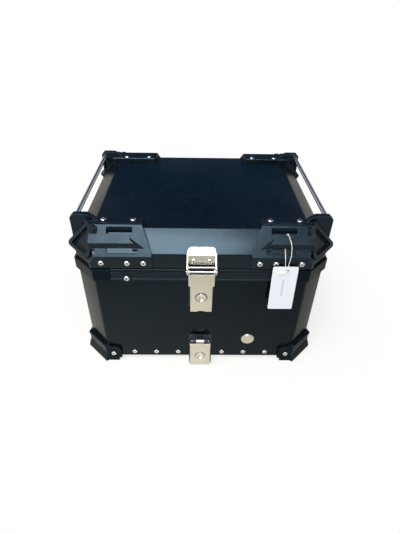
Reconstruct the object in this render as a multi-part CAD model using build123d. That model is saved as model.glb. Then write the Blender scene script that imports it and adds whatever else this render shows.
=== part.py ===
from build123d import *
import math
import os

# A top case for a motorcycle: folded aluminium body and hinged lid, moulded corner guards,
# two side rails, a front latch with a key lock, and a lower latch that grips the rack plate.
# Millimetres. Origin: centre of the underside. +Z up, the latches face -Y, +X to the right.
# Pieces of the +X +Y corner are modelled once and mirrored. In those functions, and for the
# front fittings, y is the distance from the middle of the case, and FRONT turns it to -Y.

# ---- driving dimensions ----
CASE_W = 450.0          # body width, X
CASE_D = 380.0          # body depth, Y
CORNER_CUT = 37.5       # leg of the 45 degree vertical corner facets
WALL = 1.5              # aluminium sheet
CLEAR = 0.3             # gap between pieces that move past each other
BORE_CLEAR = 0.05       # radial clearance of pins in their holes
HOLE_CLEAR = 0.1        # radial clearance of rivets in their holes

BODY_H = 225.0          # top of the rim frame, above the underside
RIM_H = 24.0            # height of the rim frame
RIM_INNER = 6.0         # how far the rim frame reaches inside the wall's outer face
RIM_CORNER_ARM = 28.5   # length of a rim corner past the end of its corner facet
RIM_CORNER_T = 4.2      # how far the rim corners stand proud
RIM_LIP = 3.0           # how far the rim frame's upper lip stands proud
BOSS_T = 3.4            # round bosses of the rim rivets
BOSS_R = 9.0
RIM_RIVET_IN_X = 28.0   # rim rivets, in from the ends of the rails
RIM_RIVET_IN_Y = 29.0

LID_GAP = 3.0           # between the rim frame and the lid's skirt
SKIRT_H = 26.8          # upright skirt of the lid
LID_RISE = 33.7         # height of the slopes above it
SLOPE_RUN_X = 39.0      # how far the side slopes reach in
SLOPE_RUN_Y = 31.8      # how far the front and rear slopes reach in
CORNER_TILT = 0.6       # the lid's slanted corner facets lie on x + y + 0.6 z
CORNER_RISE = 8.667     # they meet the upright facets this far above the skirt's edge

FOOT_DROP = 10.0        # feet below the underside
FOOT_T = 5.5            # thickness of the corner feet's walls
FOOT_ARM = 27.5         # length of a foot past the end of its corner facet
FOOT_H = 27.0           # height of the foot's side walls at their ends
FOOT_RISE = 5.0         # how much higher they are at the corner facet
FOOT_RIDGE_H = 35.0     # height of the foot on the corner facet
FOOT_RIVET_IN = 11.6    # foot rivets, in from the edge of the corner facet

# The corner brackets, measured in from the body's sides, out from the lid's top or skirt
BRACKET_T = 4.0         # thickness of the skirt
PLATE_T = 6.5           # thickness of the top plate
PLATE_DEPTH = 56.5      # top plate, in from the front wall
BRACKET_LEN = 140.0     # skirt, in from the side wall
PLATE_LEN = 123.0       # top plate, in from the side wall
CREST_IN = 27.0         # crest between the top plate and the slope
CREST_UP = 8.5
BRACKET_KNEE = 1.8      # edge between slope and skirt, below the lid's knee
STRAP_GAP = 5.0         # room for a strap under the bar
SLOT_OUTER = 64.0       # strap slots, in from the side wall
SLOT_INNER = 108.0
RIDGE_OUT = 4.0         # outer face of the strap bar, in from the front wall
RIDGE_W = 13.3
RIDGE_DOWN = 12.5       # its upper edge, below the lid's top
EAR_INSET = 53.0        # inner face of the rail ears
EAR_T = 11.0
EAR_UP = 18.5           # above the lid's top
BRACKET_RIVET_UP = 11.5
TOP_RIVETS = (106.6, 55.7)
SKIRT_RIVETS = (125.6, 97.8, 53.7)
ARROW_PROUD = 12.5      # corner badge frame, out from the lid's slanted facet
ARROW_RIM = 6.5         # width of that frame
ARROW_POCKET = 6.0      # depth of its pocket
ARROW_CORNERS = [(-32, -33, 11.5), (15, -48, -41.5), (-26, -5, -46), (-36.5, -1, -35.5), (-39, -24, 8.5)]

ROD_R = 4.0             # side rails
ROD_INSET = 9.5
ROD_UP = 11.5
ROD_SEAT = 7.0          # depth of the rail's seats in the ears

RIVET_R = 2.4           # 4.8 mm blind rivets
RIVET_HEAD_R = 4.75
RIVET_HEAD_H = 1.6
RIVET_TAIL = 2.5
FLOOR_RIVET_Z = 10.9
FLOOR_RIVET_IN_X = 26.2     # outermost floor rivets, in from the feet
FLOOR_RIVET_IN_Y = 35.8
FRONT_PAIRS = 3             # floor rivets each side of the middle
SIDE_PAIRS = 2

HINGE_X = 45.0          # two butt hinges at the rear
HINGE_W = 60.0
HINGE_T = 2.0
HINGE_KNUCKLE_R = 3.5
HINGE_PIN_R = 1.75
HINGE_HEAD_R = 2.6
HINGE_HEAD_T = 1.2
HINGE_UP = 1.5          # pivot axis above the rim frame
HINGE_RIVET_X = 18.0    # hinge rivets, from the middle of the hinge
KNUCKLES = 5

BASE_T = 2.0            # base plates of both latches
BACKING_T = 2.0         # plate inside the wall behind the lid latch
LATCH_PLATE_T = 1.8
LATCH_FACE = 18.0       # front face of both latch levers, out from the front wall
FLANGE_OUT = 8.0        # back edge of the levers' flanges
LATCH_W = 45.2          # upper, wide part of the lid latch's lever
LATCH_NARROW = 38.8     # its lower part
LATCH_OVER = 1.0        # lever's top above the rim frame
LATCH_STEP_DOWN = 1.4   # its step below the rim frame
LATCH_LEN = 60.0        # its lower end below the rim frame
LATCH_PIVOT_OUT = 15.0  # pivot pin, out from the front wall
LATCH_PIVOT_UP = 2.4    # and above the skirt's edge
LATCH_PIN_R = 2.0
LATCH_EAR_R = 4.4
STRIKE_W = 50.4
STRIKE_T = 2.0
STRIKE_REACH = 13.6     # length of the strike plate up the slope
STRIKE_TOP_W = 47.2     # its width there, between the cheeks' planes
STRIKE_CORNER = 6.6     # its clipped upper corners
STRIKE_RIVET_IN = 5.0   # its rivet on the slope, in from the upper edge
STRIKE_RIVET_X = 14.0
STRIKE_RIVET_UP = 15.2
CROSS_OUT = 10.0        # guide bar behind the pivot pin
CROSS_UP = 7.8
CROSS_R = 1.9
LATCH_LOCK_UP = 34.2    # lock above the lever's lower end
BASE_RIVET_X = 12.0
BASE_RIVET_UP = 11.0

MOUNT_W = 39.8          # lower latch
MOUNT_TOP = 53.5
MOUNT_END = -9.0
MOUNT_PIVOT_OUT = 13.0
MOUNT_PIVOT_Z = 57.0
MOUNT_LOCK_Z = 18.9
MOUNT_KNUCKLE = 7.5     # half width of the lever's middle knuckle
MOUNT_KNUCKLE_R = 3.3
MOUNT_LUG_OUTER = 16.0
MOUNT_PIN_R = 1.5
HOOK_HALF = 12.0
HOOK_REACH = 24.0       # hook finger, in from the lever's face
HOOK_TOP = -5.6
HOOK_T = 1.6

BARREL_R = 9.3
LATCH_HOLE_GAP = 1.5     # lid latch's lever around its lock barrel
MOUNT_HOLE_GAP = 0.9     # lower latch's lever around its lock barrel
PLUG_R = 6.5
PLUG_FACE_OUT = 18.8    # face of the lock, out from the front wall
BARREL_BACK = 6.5
PLUG_BACK = 5.0
CARRIER_OUT = 9.2
CARRIER_T = 1.6
CARRIER_HALF = 14.0
CAM_REACH = 13.2
CAM_T = 1.7
CAM_HALF = 5.0
KEY_HALF = 3.2          # keyway

PORT_X = 95.0           # round cover over the wiring port
PORT_Z = 50.5
PORT_R = 13.0
PORT_STEM_R = 9.5
NUT_R = 14.0
NUT_T = 4.0

PAN_FLANGE = 22.0       # upturned flange of the floor pan
MAT_T = 4.0
STUD_R = 4.0            # glide studs under the floor
STUD_H = 5.0
STUD_SHANK_R = 2.0
STUD_IN = 6.0
STUD_X = (38.0, 86.0)

TAG_W = 44.0            # hang tag
TAG_H = 92.0
TAG_T = 0.8
TAG_X = 143.5
TAG_TOP_Y = -198.8
TAG_TOP_Z = 238.0
TAG_LEAN = 3.5          # degrees, the lower edge hangs outwards
TAG_HOLE_R = 2.6
TAG_HOLE_DROP = 8.5     # hole below the top edge
TAG_HOLE_X = 3.1        # hole right of the middle
STRING_R = 0.6
CLIP_R = 1.9
CLIP_START = (130.3, 227.4)
CLIP_END_X = 143.7

# ---- places that follow from them ----
HALF_W = CASE_W / 2
HALF_D = CASE_D / 2
FACET_X = HALF_W - CORNER_CUT
FACET_Y = HALF_D - CORNER_CUT
FACET_LEN = CORNER_CUT * math.sqrt(2.0)
ROOT2 = math.sqrt(2.0)
TILT_N = math.sqrt(2.0 + CORNER_TILT ** 2)
RIM_TOP = BODY_H
RIM_BOTTOM = RIM_TOP - RIM_H
RIM_SHELF = RIM_BOTTOM + 6.0
WALL_TOP = RIM_TOP - 3.0
RIM_END_X = FACET_X - RIM_CORNER_ARM
RIM_END_Y = FACET_Y - RIM_CORNER_ARM
RIM_RIVET_X = RIM_END_X - RIM_RIVET_IN_X
RIM_RIVET_Y = RIM_END_Y - RIM_RIVET_IN_Y
RIM_RIVET_Z = RIM_BOTTOM + 5.0
LID_BOTTOM = RIM_TOP + LID_GAP
LID_KNEE = LID_BOTTOM + SKIRT_H
LID_TOP = LID_KNEE + LID_RISE
LID_CORNER_SUM = HALF_W + HALF_D - CORNER_CUT + CORNER_TILT * (LID_BOTTOM + CORNER_RISE)
ARROW_SUM = LID_CORNER_SUM + ARROW_PROUD
PLATE_IN = HALF_D - PLATE_DEPTH
PLATE_TOP = LID_TOP + PLATE_T
BRACKET_END = HALF_W - BRACKET_LEN
PLATE_END = HALF_W - PLATE_LEN
CREST_Y = HALF_D - CREST_IN
CREST_Z = LID_TOP + CREST_UP
SLOT_X0 = HALF_W - SLOT_INNER
SLOT_X1 = HALF_W - SLOT_OUTER
RIDGE_Y1 = HALF_D - RIDGE_OUT
RIDGE_Y0 = RIDGE_Y1 - RIDGE_W
RIDGE_Z1 = LID_TOP - RIDGE_DOWN
EAR_IN = HALF_D - EAR_INSET
EAR_TOP = LID_TOP + EAR_UP
ROD_X = HALF_W - ROD_INSET
ROD_Z = LID_TOP + ROD_UP
HINGE_Y = HALF_D + RIM_LIP + HINGE_KNUCKLE_R
HINGE_Z = RIM_TOP + HINGE_UP
HINGE_BODY_Z = RIM_BOTTOM + 10.0
HINGE_LID_Z = LID_BOTTOM + 15.0
LATCH_TOP = RIM_TOP + LATCH_OVER
LATCH_STEP = RIM_BOTTOM - LATCH_STEP_DOWN
LATCH_END = RIM_BOTTOM - LATCH_LEN
LATCH_PIVOT_Z = LID_BOTTOM + LATCH_PIVOT_UP
LATCH_LOCK_Z = LATCH_END + LATCH_LOCK_UP
CROSS_Z = LID_BOTTOM + CROSS_UP
LEVER_FACE = HALF_D + LATCH_FACE
LEVER_BACK = LEVER_FACE - LATCH_PLATE_T
FLANGE_BACK = HALF_D + FLANGE_OUT
BASE_HALF = LATCH_NARROW / 2 + 2.8
MOUNT_BASE_HALF = MOUNT_W / 2 + 2.3
FAR = CASE_W + CASE_D

os.makedirs("parts", exist_ok=True)


# ---- small tools ----
def block(x0, x1, y0, y1, z0, z1):
    size = (x1 - x0, y1 - y0, z1 - z0)
    return Pos((x0 + x1) / 2, (y0 + y1) / 2, (z0 + z1) / 2) * Box(*size)


def face_of(points):
    return make_face(Polyline(*points, close=True))


def prism_x(points, x0, x1):
    """Extrude an outline given in (y, z) from x0 to x1."""
    plane = Plane(origin=(x0, 0, 0), x_dir=(0, 1, 0), z_dir=(1, 0, 0))
    return extrude(plane * face_of(points), x1 - x0)


def prism_y(points, y0, y1):
    """Extrude an outline given in (x, z) from y0 to y1."""
    plane = Plane(origin=(0, y1, 0), x_dir=(1, 0, 0), z_dir=(0, -1, 0))
    return extrude(plane * face_of(points), y1 - y0)


def prism_z(points, z0, z1):
    """Extrude an outline given in (x, y) from z0 to z1."""
    return extrude(Pos(0, 0, z0) * face_of(points), z1 - z0)


def rod_x(y, z, x0, x1, r):
    return Pos((x0 + x1) / 2, y, z) * Rot(0, 90, 0) * Cylinder(r, x1 - x0)


def rod_y(x, z, y0, y1, r):
    return Pos(x, (y0 + y1) / 2, z) * Rot(90, 0, 0) * Cylinder(r, y1 - y0)


def octagon(out):
    """Plan outline of the body, moved outwards by out."""
    hx = HALF_W + out
    hy = HALF_D + out
    c = CORNER_CUT + out * (2.0 - ROOT2)
    quarter = [(hx, hy - c), (hx - c, hy)]
    left = [(-x, y) for x, y in reversed(quarter)]
    back = quarter + left
    return back + [(-x, -y) for x, y in back]


def ring(outer, inner, z0, z1):
    return prism_z(octagon(outer), z0, z1) - prism_z(octagon(inner), z0, z1)


def to_front(shape):
    return mirror(shape, about=Plane.XZ)


def to_left(shape):
    return mirror(shape, about=Plane.YZ)


def save(name, shapes):
    if not isinstance(shapes, (list, tuple)):
        shapes = [shapes]
    solids = [s for shape in shapes for s in shape.solids()]
    whole = solids[0] if len(solids) == 1 else Compound(children=solids)
    export_step(whole, "parts/" + name + ".step")


def save_corners(name, shape):
    """Write the four mirrored copies of a piece of the +X +Y corner."""
    save(name + "_back_right", shape)
    save(name + "_back_left", to_left(shape))
    save(name + "_front_right", to_front(shape))
    save(name + "_front_left", to_front(to_left(shape)))


# ---- rivets ----
def rivet(grip):
    """A blind rivet along +Z: its head stands on z = 0 and its tail lies under -grip."""
    outline = [(0, 0.4), (1.3, 0.4), (1.3, RIVET_HEAD_H), (2.8, RIVET_HEAD_H), (4.2, 0.9),
               (RIVET_HEAD_R, 0), (RIVET_R, 0), (RIVET_R, -grip), (3.5, -grip),
               (3.0, -grip - RIVET_TAIL), (0, -grip - RIVET_TAIL)]
    return revolve(Plane.XZ * face_of(outline), Axis.Z)


def rivets_at(spots, grip):
    """spots is a list of ((x, y, z), outward direction)."""
    one = rivet(grip)
    return [Plane(origin=p, z_dir=n) * one for p, n in spots]


def rivet_holes(spots, depth=16.0):
    r = RIVET_R + HOLE_CLEAR
    return [Plane(origin=p, z_dir=n) * Pos(0, 0, -depth / 2 + 6.0) * Cylinder(r, depth) for p, n in spots]


def cut_all(shape, tools):
    for tool in tools:
        shape = shape - tool
    return shape


def four_ways(x, y, z, nx, ny, nz):
    """A spot and its three mirror images."""
    return [((sx * x, sy * y, z), (sx * nx, sy * ny, nz)) for sx in (1, -1) for sy in (1, -1)]


FRONT = (0, -1, 0)
BACK = (0, 1, 0)



def row(reach, pairs):
    """Evenly spaced places from -reach to reach, with the middle one last."""
    return [s * reach * k / pairs for k in range(pairs, 0, -1) for s in (1, -1)] + [0.0]


front_row = row(FACET_X - FOOT_ARM - FLOOR_RIVET_IN_X, FRONT_PAIRS)[:-1]
side_row = row(FACET_Y - FOOT_ARM - FLOOR_RIVET_IN_Y, SIDE_PAIRS)
floor_spots = [((x, -HALF_D, FLOOR_RIVET_Z), FRONT) for x in front_row]
floor_spots += [((x, HALF_D, FLOOR_RIVET_Z), BACK) for x in front_row + [0.0]]
floor_spots += [((s * HALF_W, y, FLOOR_RIVET_Z), (s, 0, 0)) for s in (1, -1) for y in side_row]

foot_spots = four_ways(FACET_X - FOOT_RIVET_IN, HALF_D + FOOT_T, FLOOR_RIVET_Z, 0, 1, 0)
foot_spots += four_ways(HALF_W + FOOT_T, FACET_Y - FOOT_RIVET_IN, FLOOR_RIVET_Z, 1, 0, 0)

rim_spots = four_ways(RIM_RIVET_X, HALF_D + BOSS_T, RIM_RIVET_Z, 0, 1, 0)
rim_spots += four_ways(HALF_W + BOSS_T, RIM_RIVET_Y, RIM_RIVET_Z, 1, 0, 0)

top_spots = []
for inset in TOP_RIVETS:
    top_spots += four_ways(HALF_W - inset, PLATE_IN + 8.5, PLATE_TOP, 0, 0, 1)
skirt_spots = []
for inset in SKIRT_RIVETS:
    skirt_spots += four_ways(HALF_W - inset, HALF_D + BRACKET_T, LID_BOTTOM + BRACKET_RIVET_UP, 0, 1, 0)

slope_len = math.hypot(SLOPE_RUN_Y, LID_RISE)
SLOPE_N = (LID_RISE / slope_len, SLOPE_RUN_Y / slope_len)


def on_front_slope(along, out):
    """Point of the front slope's (y, z) section: along it from the knee, and out from it."""
    y = HALF_D - along * SLOPE_N[1] + out * SLOPE_N[0]
    z = LID_KNEE + along * SLOPE_N[0] + out * SLOPE_N[1]
    return (y, z)




def front_pair(x, out, z):
    """Two spots of fittings on the front, out from the wall."""
    return [((s * x, -HALF_D - out, z), FRONT) for s in (1, -1)]


slope_y, slope_z_mid = on_front_slope(STRIKE_REACH - STRIKE_RIVET_IN, STRIKE_T)
strike_spots = front_pair(STRIKE_RIVET_X, STRIKE_T, LID_BOTTOM + STRIKE_RIVET_UP)
strike_spots.append(((0, -slope_y, slope_z_mid), (0, -SLOPE_N[0], SLOPE_N[1])))
base_spots = front_pair(BASE_RIVET_X, BASE_T, LATCH_END + BASE_RIVET_UP)
mount_low_spots = front_pair(15.6, BASE_T, 9.3)
mount_high_spots = front_pair(12.5, BASE_T, MOUNT_PIVOT_Z - 13.0)
hinge_xs = [s * HINGE_X + d for s in (1, -1) for d in (-HINGE_RIVET_X, HINGE_RIVET_X)]
hinge_body_spots = [((x, HALF_D + RIM_LIP + HINGE_T, HINGE_BODY_Z), BACK) for x in hinge_xs]
hinge_lid_spots = [((x, HALF_D + HINGE_T, HINGE_LID_Z), BACK) for x in hinge_xs]

floor_grip = 2 * WALL
foot_grip = FOOT_T + 2 * WALL
rim_grip = BOSS_T + RIM_INNER
save("rivets_floor", rivets_at(floor_spots, floor_grip))
save("rivets_feet", rivets_at(foot_spots, foot_grip))
save("rivets_rim", rivets_at(rim_spots, rim_grip))
save("rivets_bracket_tops", rivets_at(top_spots, PLATE_T + WALL))
save("rivets_bracket_skirts", rivets_at(skirt_spots, BRACKET_T + WALL))
body_fitting = rivets_at(base_spots, BASE_T + WALL + BACKING_T)
body_fitting += rivets_at(mount_low_spots, BASE_T + 2 * WALL) + rivets_at(mount_high_spots, BASE_T + WALL)
body_fitting += rivets_at(hinge_body_spots, HINGE_T + RIM_LIP + RIM_INNER)
save("rivets_body_fittings", body_fitting)
lid_fitting = rivets_at(strike_spots, STRIKE_T + WALL) + rivets_at(hinge_lid_spots, HINGE_T + WALL)
save("rivets_lid_fittings", lid_fitting)


# ---- body: wall, floor pan, mat ----
def body_wall():
    wall = ring(0, -WALL, 0, WALL_TOP)
    spots = floor_spots + foot_spots + rim_spots + base_spots + mount_low_spots + mount_high_spots
    wall = cut_all(wall, rivet_holes(spots + hinge_body_spots))
    return wall - rod_y(PORT_X, PORT_Z, -HALF_D - 5, -HALF_D + 5, PORT_STEM_R + HOLE_CLEAR)


def floor_pan():
    pan = prism_z(octagon(-WALL), 0, WALL) + ring(-WALL, -2 * WALL, 0, PAN_FLANGE)
    return cut_all(pan, rivet_holes(floor_spots + foot_spots + mount_low_spots) + stud_holes())


stud_places = [(s * x, t * (HALF_D - STUD_IN)) for s in (1, -1) for t in (1, -1) for x in STUD_X]


def stud_holes():
    r = STUD_SHANK_R + HOLE_CLEAR
    return [Pos(x, y, WALL / 2) * Cylinder(r, 3 * WALL) for x, y in stud_places]


def glide_studs():
    studs = []
    for x, y in stud_places:
        foot = Pos(x, y, -STUD_H / 2) * Cylinder(STUD_R, STUD_H)
        foot = chamfer(foot.edges().group_by(Axis.Z)[0], 1.0)
        studs.append(foot + Pos(x, y, WALL / 2) * Cylinder(STUD_SHANK_R, WALL))
    return studs


save("body_wall", body_wall())
save("floor_pan", floor_pan())
save("glide_studs", glide_studs())
save("floor_mat", prism_z(octagon(-2 * WALL - CLEAR), WALL, WALL + MAT_T))


# ---- rim frame ----
def rim_section():
    """Extrusion profile as (out, z): out is measured from the wall's outer face."""
    low = [(0, RIM_BOTTOM), (2.4, RIM_BOTTOM), (2.4, RIM_BOTTOM + 3.0), (1.8, RIM_BOTTOM + 3.6)]
    lip = [(1.8, RIM_TOP - 9.6), (RIM_LIP, RIM_TOP - 8.8), (RIM_LIP, RIM_TOP - 6.0), (0.8, RIM_TOP - 5.4)]
    top = [(0.8, RIM_TOP - 3.0), (1.8, RIM_TOP - 2.4), (1.8, RIM_TOP - 0.5), (1.3, RIM_TOP),
           (-RIM_INNER, RIM_TOP)]
    inside = [(-RIM_INNER, RIM_SHELF), (-WALL, RIM_SHELF), (-WALL, WALL_TOP), (0, WALL_TOP)]
    return low + lip + top + inside


def rim_straight_y(half):
    """Rear rail of the frame, from -half to half along X."""
    rail = prism_x([(HALF_D + out, z) for out, z in rim_section()], -half, half)
    for s in (1, -1):
        boss = rod_y(s * RIM_RIVET_X, RIM_RIVET_Z, HALF_D, HALF_D + BOSS_T, BOSS_R)
        rail = rail + boss
    return rail


def rim_straight_x(half):
    """Right rail of the frame, from -half to half along Y."""
    rail = prism_y([(HALF_W + out, z) for out, z in rim_section()], -half, half)
    for s in (1, -1):
        rail = rail + rod_x(s * RIM_RIVET_Y, RIM_RIVET_Z, HALF_W, HALF_W + BOSS_T, BOSS_R)
    return rail


def rim_corner():
    """Moulded corner of the rim frame, for the +X +Y corner."""
    solid = ring(RIM_CORNER_T, -RIM_INNER, RIM_BOTTOM - 0.5, RIM_TOP)
    solid = solid - ring(0, -WALL, 0, WALL_TOP)
    solid = solid - ring(-WALL, -RIM_INNER - 1, 0, RIM_SHELF)
    solid = solid & block(RIM_END_X + CLEAR, CASE_W, RIM_END_Y + CLEAR, CASE_D, 0, LID_TOP)
    rims = [e for e in solid.edges().filter_by(Plane.XY) if abs(e.center().Z - RIM_TOP) < 0.01]
    outer = [e for e in rims if on_outer(e.center(), RIM_CORNER_T)]
    return chamfer(outer, 1.4)


def on_outer(c, out):
    """True for a point on the body's plan outline moved outwards by out."""
    facet = (c.X + c.Y - (HALF_W + HALF_D - CORNER_CUT)) / ROOT2
    return max(c.X - HALF_W, c.Y - HALF_D, facet) > out - 0.05


rim_holes = rivet_holes(rim_spots + hinge_body_spots, 18.0)
rim_back = cut_all(rim_straight_y(RIM_END_X), rim_holes)
rim_right = cut_all(rim_straight_x(RIM_END_Y), rim_holes)
save("rim_back", rim_back)
save("rim_front", to_front(cut_all(rim_straight_y(RIM_END_X), rivet_holes(rim_spots, 18.0))))
save("rim_right", rim_right)
save("rim_left", to_left(rim_right))
save_corners("rim_corner", rim_corner())


# ---- corner feet ----
def corner_zone(arm, z0, z1):
    return block(FACET_X - arm, CASE_W, FACET_Y - arm, CASE_D, z0, z1)


def foot():
    """Moulded foot that wraps the lower +X +Y corner and carries the case."""
    top = FOOT_H + FOOT_RISE
    walls = ring(FOOT_T, 0, -2.0, top) & corner_zone(FOOT_ARM, -2.0, top)
    over_y = prism_y(wall_top(FACET_X), 0, FAR)
    over_x = prism_x(wall_top(FACET_Y), 0, FAR)
    walls = walls & (prism_z(octagon(FOOT_T), -2.0, top) & over_y & over_x)
    sole = prism_z(octagon(FOOT_T), -FOOT_DROP, 0) & corner_zone(FOOT_ARM - 6.0, -FOOT_DROP, 0)
    sole = sole & facet_side(-26.0)
    ridge = ring(FOOT_T, 0, 0, FOOT_RIDGE_H) & facet_strip(3.0)
    flare = [(0, -FOOT_DROP), (8.5, -FOOT_DROP), (11.0, 3.5 - FOOT_DROP), (11.0, 7.0 - FOOT_DROP),
             (FOOT_T, 12.0), (0, 12.0)]
    band = [(0, FOOT_RIDGE_H - 8.0), (FOOT_T, FOOT_RIDGE_H - 8.0), (7.5, FOOT_RIDGE_H - 6.5),
            (7.5, FOOT_RIDGE_H - 1.0), (6.5, FOOT_RIDGE_H), (0, FOOT_RIDGE_H)]
    body = walls + sole + ridge + facet_prism(flare, 3.5) + facet_prism(band, 1.5)
    body = body - prism_z(octagon(0), 0, 2 * FOOT_RIDGE_H)
    return cut_all(body, rivet_holes(foot_spots))


def wall_top(facet):
    """Outline of a foot's side wall along one axis: rounded at its end, rising to the facet."""
    end = facet - FOOT_ARM
    corner = [(end + 9.0 - 9.0 * math.cos(k * math.pi / 8), FOOT_H - 9.0 + 9.0 * math.sin(k * math.pi / 8))
              for k in range(5)]
    rise = [(facet, FOOT_H + FOOT_RISE), (FAR, FOOT_H + FOOT_RISE), (FAR, -FOOT_DROP), (end, -FOOT_DROP)]
    return corner + rise


def facet_plane(out):
    """Plane on the corner facet moved outwards: local x runs along the facet, y is up."""
    mid = (HALF_W - CORNER_CUT / 2, HALF_D - CORNER_CUT / 2, 0)
    origin = (mid[0] + out / ROOT2, mid[1] + out / ROOT2, 0)
    return Plane(origin=origin, x_dir=(-1, 1, 0), z_dir=(1, 1, 0))


def facet_side(out):
    """Half space on the outer side of the corner facet moved by out, as a large block."""
    return facet_plane(out) * Pos(0, 0, 200) * Box(800, 800, 400)


def facet_strip(extra):
    """Block that covers the corner facet and extra on each side of it."""
    return facet_plane(0) * Pos(0, 0, 10) * Box(FACET_LEN + 2 * extra, 400, 60)


def facet_prism(points, extra):
    """Extrude an (out, z) outline along the corner facet."""
    half = FACET_LEN / 2 + extra
    mid = facet_plane(0)
    start = mid.from_local_coords((half, 0, 0))
    section = Plane(origin=start, x_dir=(1, 1, 0), z_dir=(1, -1, 0))
    return extrude(section * face_of(points), 2 * half)


save_corners("foot", foot())


# ---- lid ----
def lid_form(inset, z_bottom):
    """Solid bounded by the lid's outer faces moved inwards by inset."""
    rise = LID_RISE

    def section(half, run):
        length = math.hypot(rise, run)
        knee = LID_KNEE + inset * (rise - length) / run
        top = half - run - inset * (length - run) / rise
        return [(-half + inset, z_bottom), (-half + inset, knee), (-top, LID_TOP - inset),
                (top, LID_TOP - inset), (half - inset, knee), (half - inset, z_bottom)]

    form = prism_x(section(HALF_D, SLOPE_RUN_Y), -HALF_W, HALF_W)
    form = form & prism_y(section(HALF_W, SLOPE_RUN_X), -HALF_D, HALF_D)
    form = form & prism_z(octagon(-inset), z_bottom, LID_TOP)
    corner = corner_wedge(LID_CORNER_SUM - inset * TILT_N)
    for tool in (corner, to_left(corner), to_front(corner), to_front(to_left(corner))):
        form = form - tool
    return form


def tilt_plane(total):
    """Plane x + y + 0.6 z = total: local x runs level along the corner, local y climbs it."""
    k = total / TILT_N ** 2
    return Plane(origin=(k, k, k * CORNER_TILT), x_dir=(-1, 1, 0), z_dir=(1, 1, CORNER_TILT))


def corner_wedge(total):
    return tilt_plane(total) * Pos(0, 0, 100) * Box(600, 600, 200)


def lid_shell():
    shell = lid_form(0, LID_BOTTOM) - lid_form(WALL, LID_BOTTOM - 1)
    return cut_all(shell, rivet_holes(top_spots + skirt_spots + strike_spots + hinge_lid_spots))


def lid_seal():
    """Rubber strip inside the skirt that rests over the rim frame."""
    foot_z = RIM_TOP + CLEAR
    seal = ring(-WALL, -WALL - 6.0, foot_z, LID_BOTTOM + 3.5)
    return seal - ring(-WALL - 2.0, -WALL - 4.5, foot_z + 1.5, LID_BOTTOM + 2.0)


save("lid_shell", lid_shell())
save("lid_seal", lid_seal())


# ---- lid corner brackets ----
def tilt_xy(x, y, z):
    """Local coordinates on the tilted corner plane of a point (x, y, z)."""
    p = tilt_plane(ARROW_SUM).to_local_coords(Vector(x, y, z))
    return (p.X, p.Y)


def arrow_outline(inset):
    """Rounded outline of the triangular frame, moved inwards."""
    flat = face_of([tilt_xy(HALF_W + dx, HALF_D + dy, LID_TOP + dz) for dx, dy, dz in ARROW_CORNERS])
    if inset:
        flat = offset(flat, -inset, kind=Kind.INTERSECTION)
    radius = 5.5 if inset == 0 else 2.0
    return fillet(flat.vertices(), radius)


def arrow_slab(inset, low, high):
    """The outline between the tilted planes low and high."""
    start = (low - ARROW_SUM) / TILT_N
    return tilt_plane(ARROW_SUM) * Pos(0, 0, start) * extrude(arrow_outline(inset), (high - low) / TILT_N)


def bracket_section():
    """(y, z) section of the part that wraps the edge of the lid."""
    under = [(HALF_D, LID_BOTTOM + 1.5), (HALF_D, LID_KNEE), (HALF_D - SLOPE_RUN_Y, LID_TOP),
             (PLATE_IN, LID_TOP)]
    over = [(PLATE_IN, PLATE_TOP - 1.0), (PLATE_IN + 1.0, PLATE_TOP), (CREST_Y - 11.0, PLATE_TOP),
            (CREST_Y - 5.5, CREST_Z), (CREST_Y, CREST_Z), (HALF_D + BRACKET_T, LID_KNEE - BRACKET_KNEE),
            (HALF_D + BRACKET_T, LID_BOTTOM + 1.5)]
    return under + over


def slope_z(y):
    """Height of the bracket's slope at y."""
    drop = CREST_Z - LID_KNEE + BRACKET_KNEE
    return CREST_Z - (y - CREST_Y) * drop / (HALF_D + BRACKET_T - CREST_Y)


def ridge():
    """Strap bar along the slope, with a pointed inner end."""
    y0, y1 = RIDGE_Y0, RIDGE_Y1
    outline = [(y0 - 1.0, slope_z(y0)), (y0, slope_z(y0) + 1.5), (y1 - 1.0, RIDGE_Z1), (y1, RIDGE_Z1 - 1.0),
               (y1, slope_z(y1) - 2.0), (y0, slope_z(y0) - 6.0)]
    bar = prism_x(outline, BRACKET_END + 5.0, HALF_W - 35.0)
    tip = BRACKET_END + 8.0
    point = [(0, 0), (0, CREST_Z), (SLOT_X0 + 4.0, CREST_Z), (SLOT_X0 + 4.0, LID_TOP - 9.5),
             (tip, LID_KNEE + 7.7), (tip, 0)]
    return bar - prism_y(point, PLATE_IN, CASE_D)


def strap_channel():
    """Space under the strap bar, along the lid's slope, and its two mouths."""
    gap = STRAP_GAP
    end = slope_len - 8.33
    low = [on_front_slope(2.0, 0), on_front_slope(end, 0), on_front_slope(end, gap), on_front_slope(2.0, gap)]
    under = prism_x(low, SLOT_X0, SLOT_X1)
    upper = block(SLOT_X0, SLOT_X1, CREST_Y + 1.8, RIDGE_Y0 - 0.5, LID_KNEE + 11.2, EAR_TOP)
    lower = block(SLOT_X0 - 9.0, SLOT_X1, RIDGE_Y1 + 0.5, HALF_D + 20.0, LID_KNEE + 1.7, LID_KNEE + 9.2)
    lower = fillet(lower.edges().filter_by(Axis.Y), 2.5)
    upper = fillet(upper.edges().filter_by(Axis.Z), 2.5)
    return under + upper + lower


def from_edge(points):
    """(x, z) outline given as distances in from the side wall and above the lid's top."""
    return [(HALF_W - dx, LID_TOP + dz) for dx, dz in points]


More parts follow.
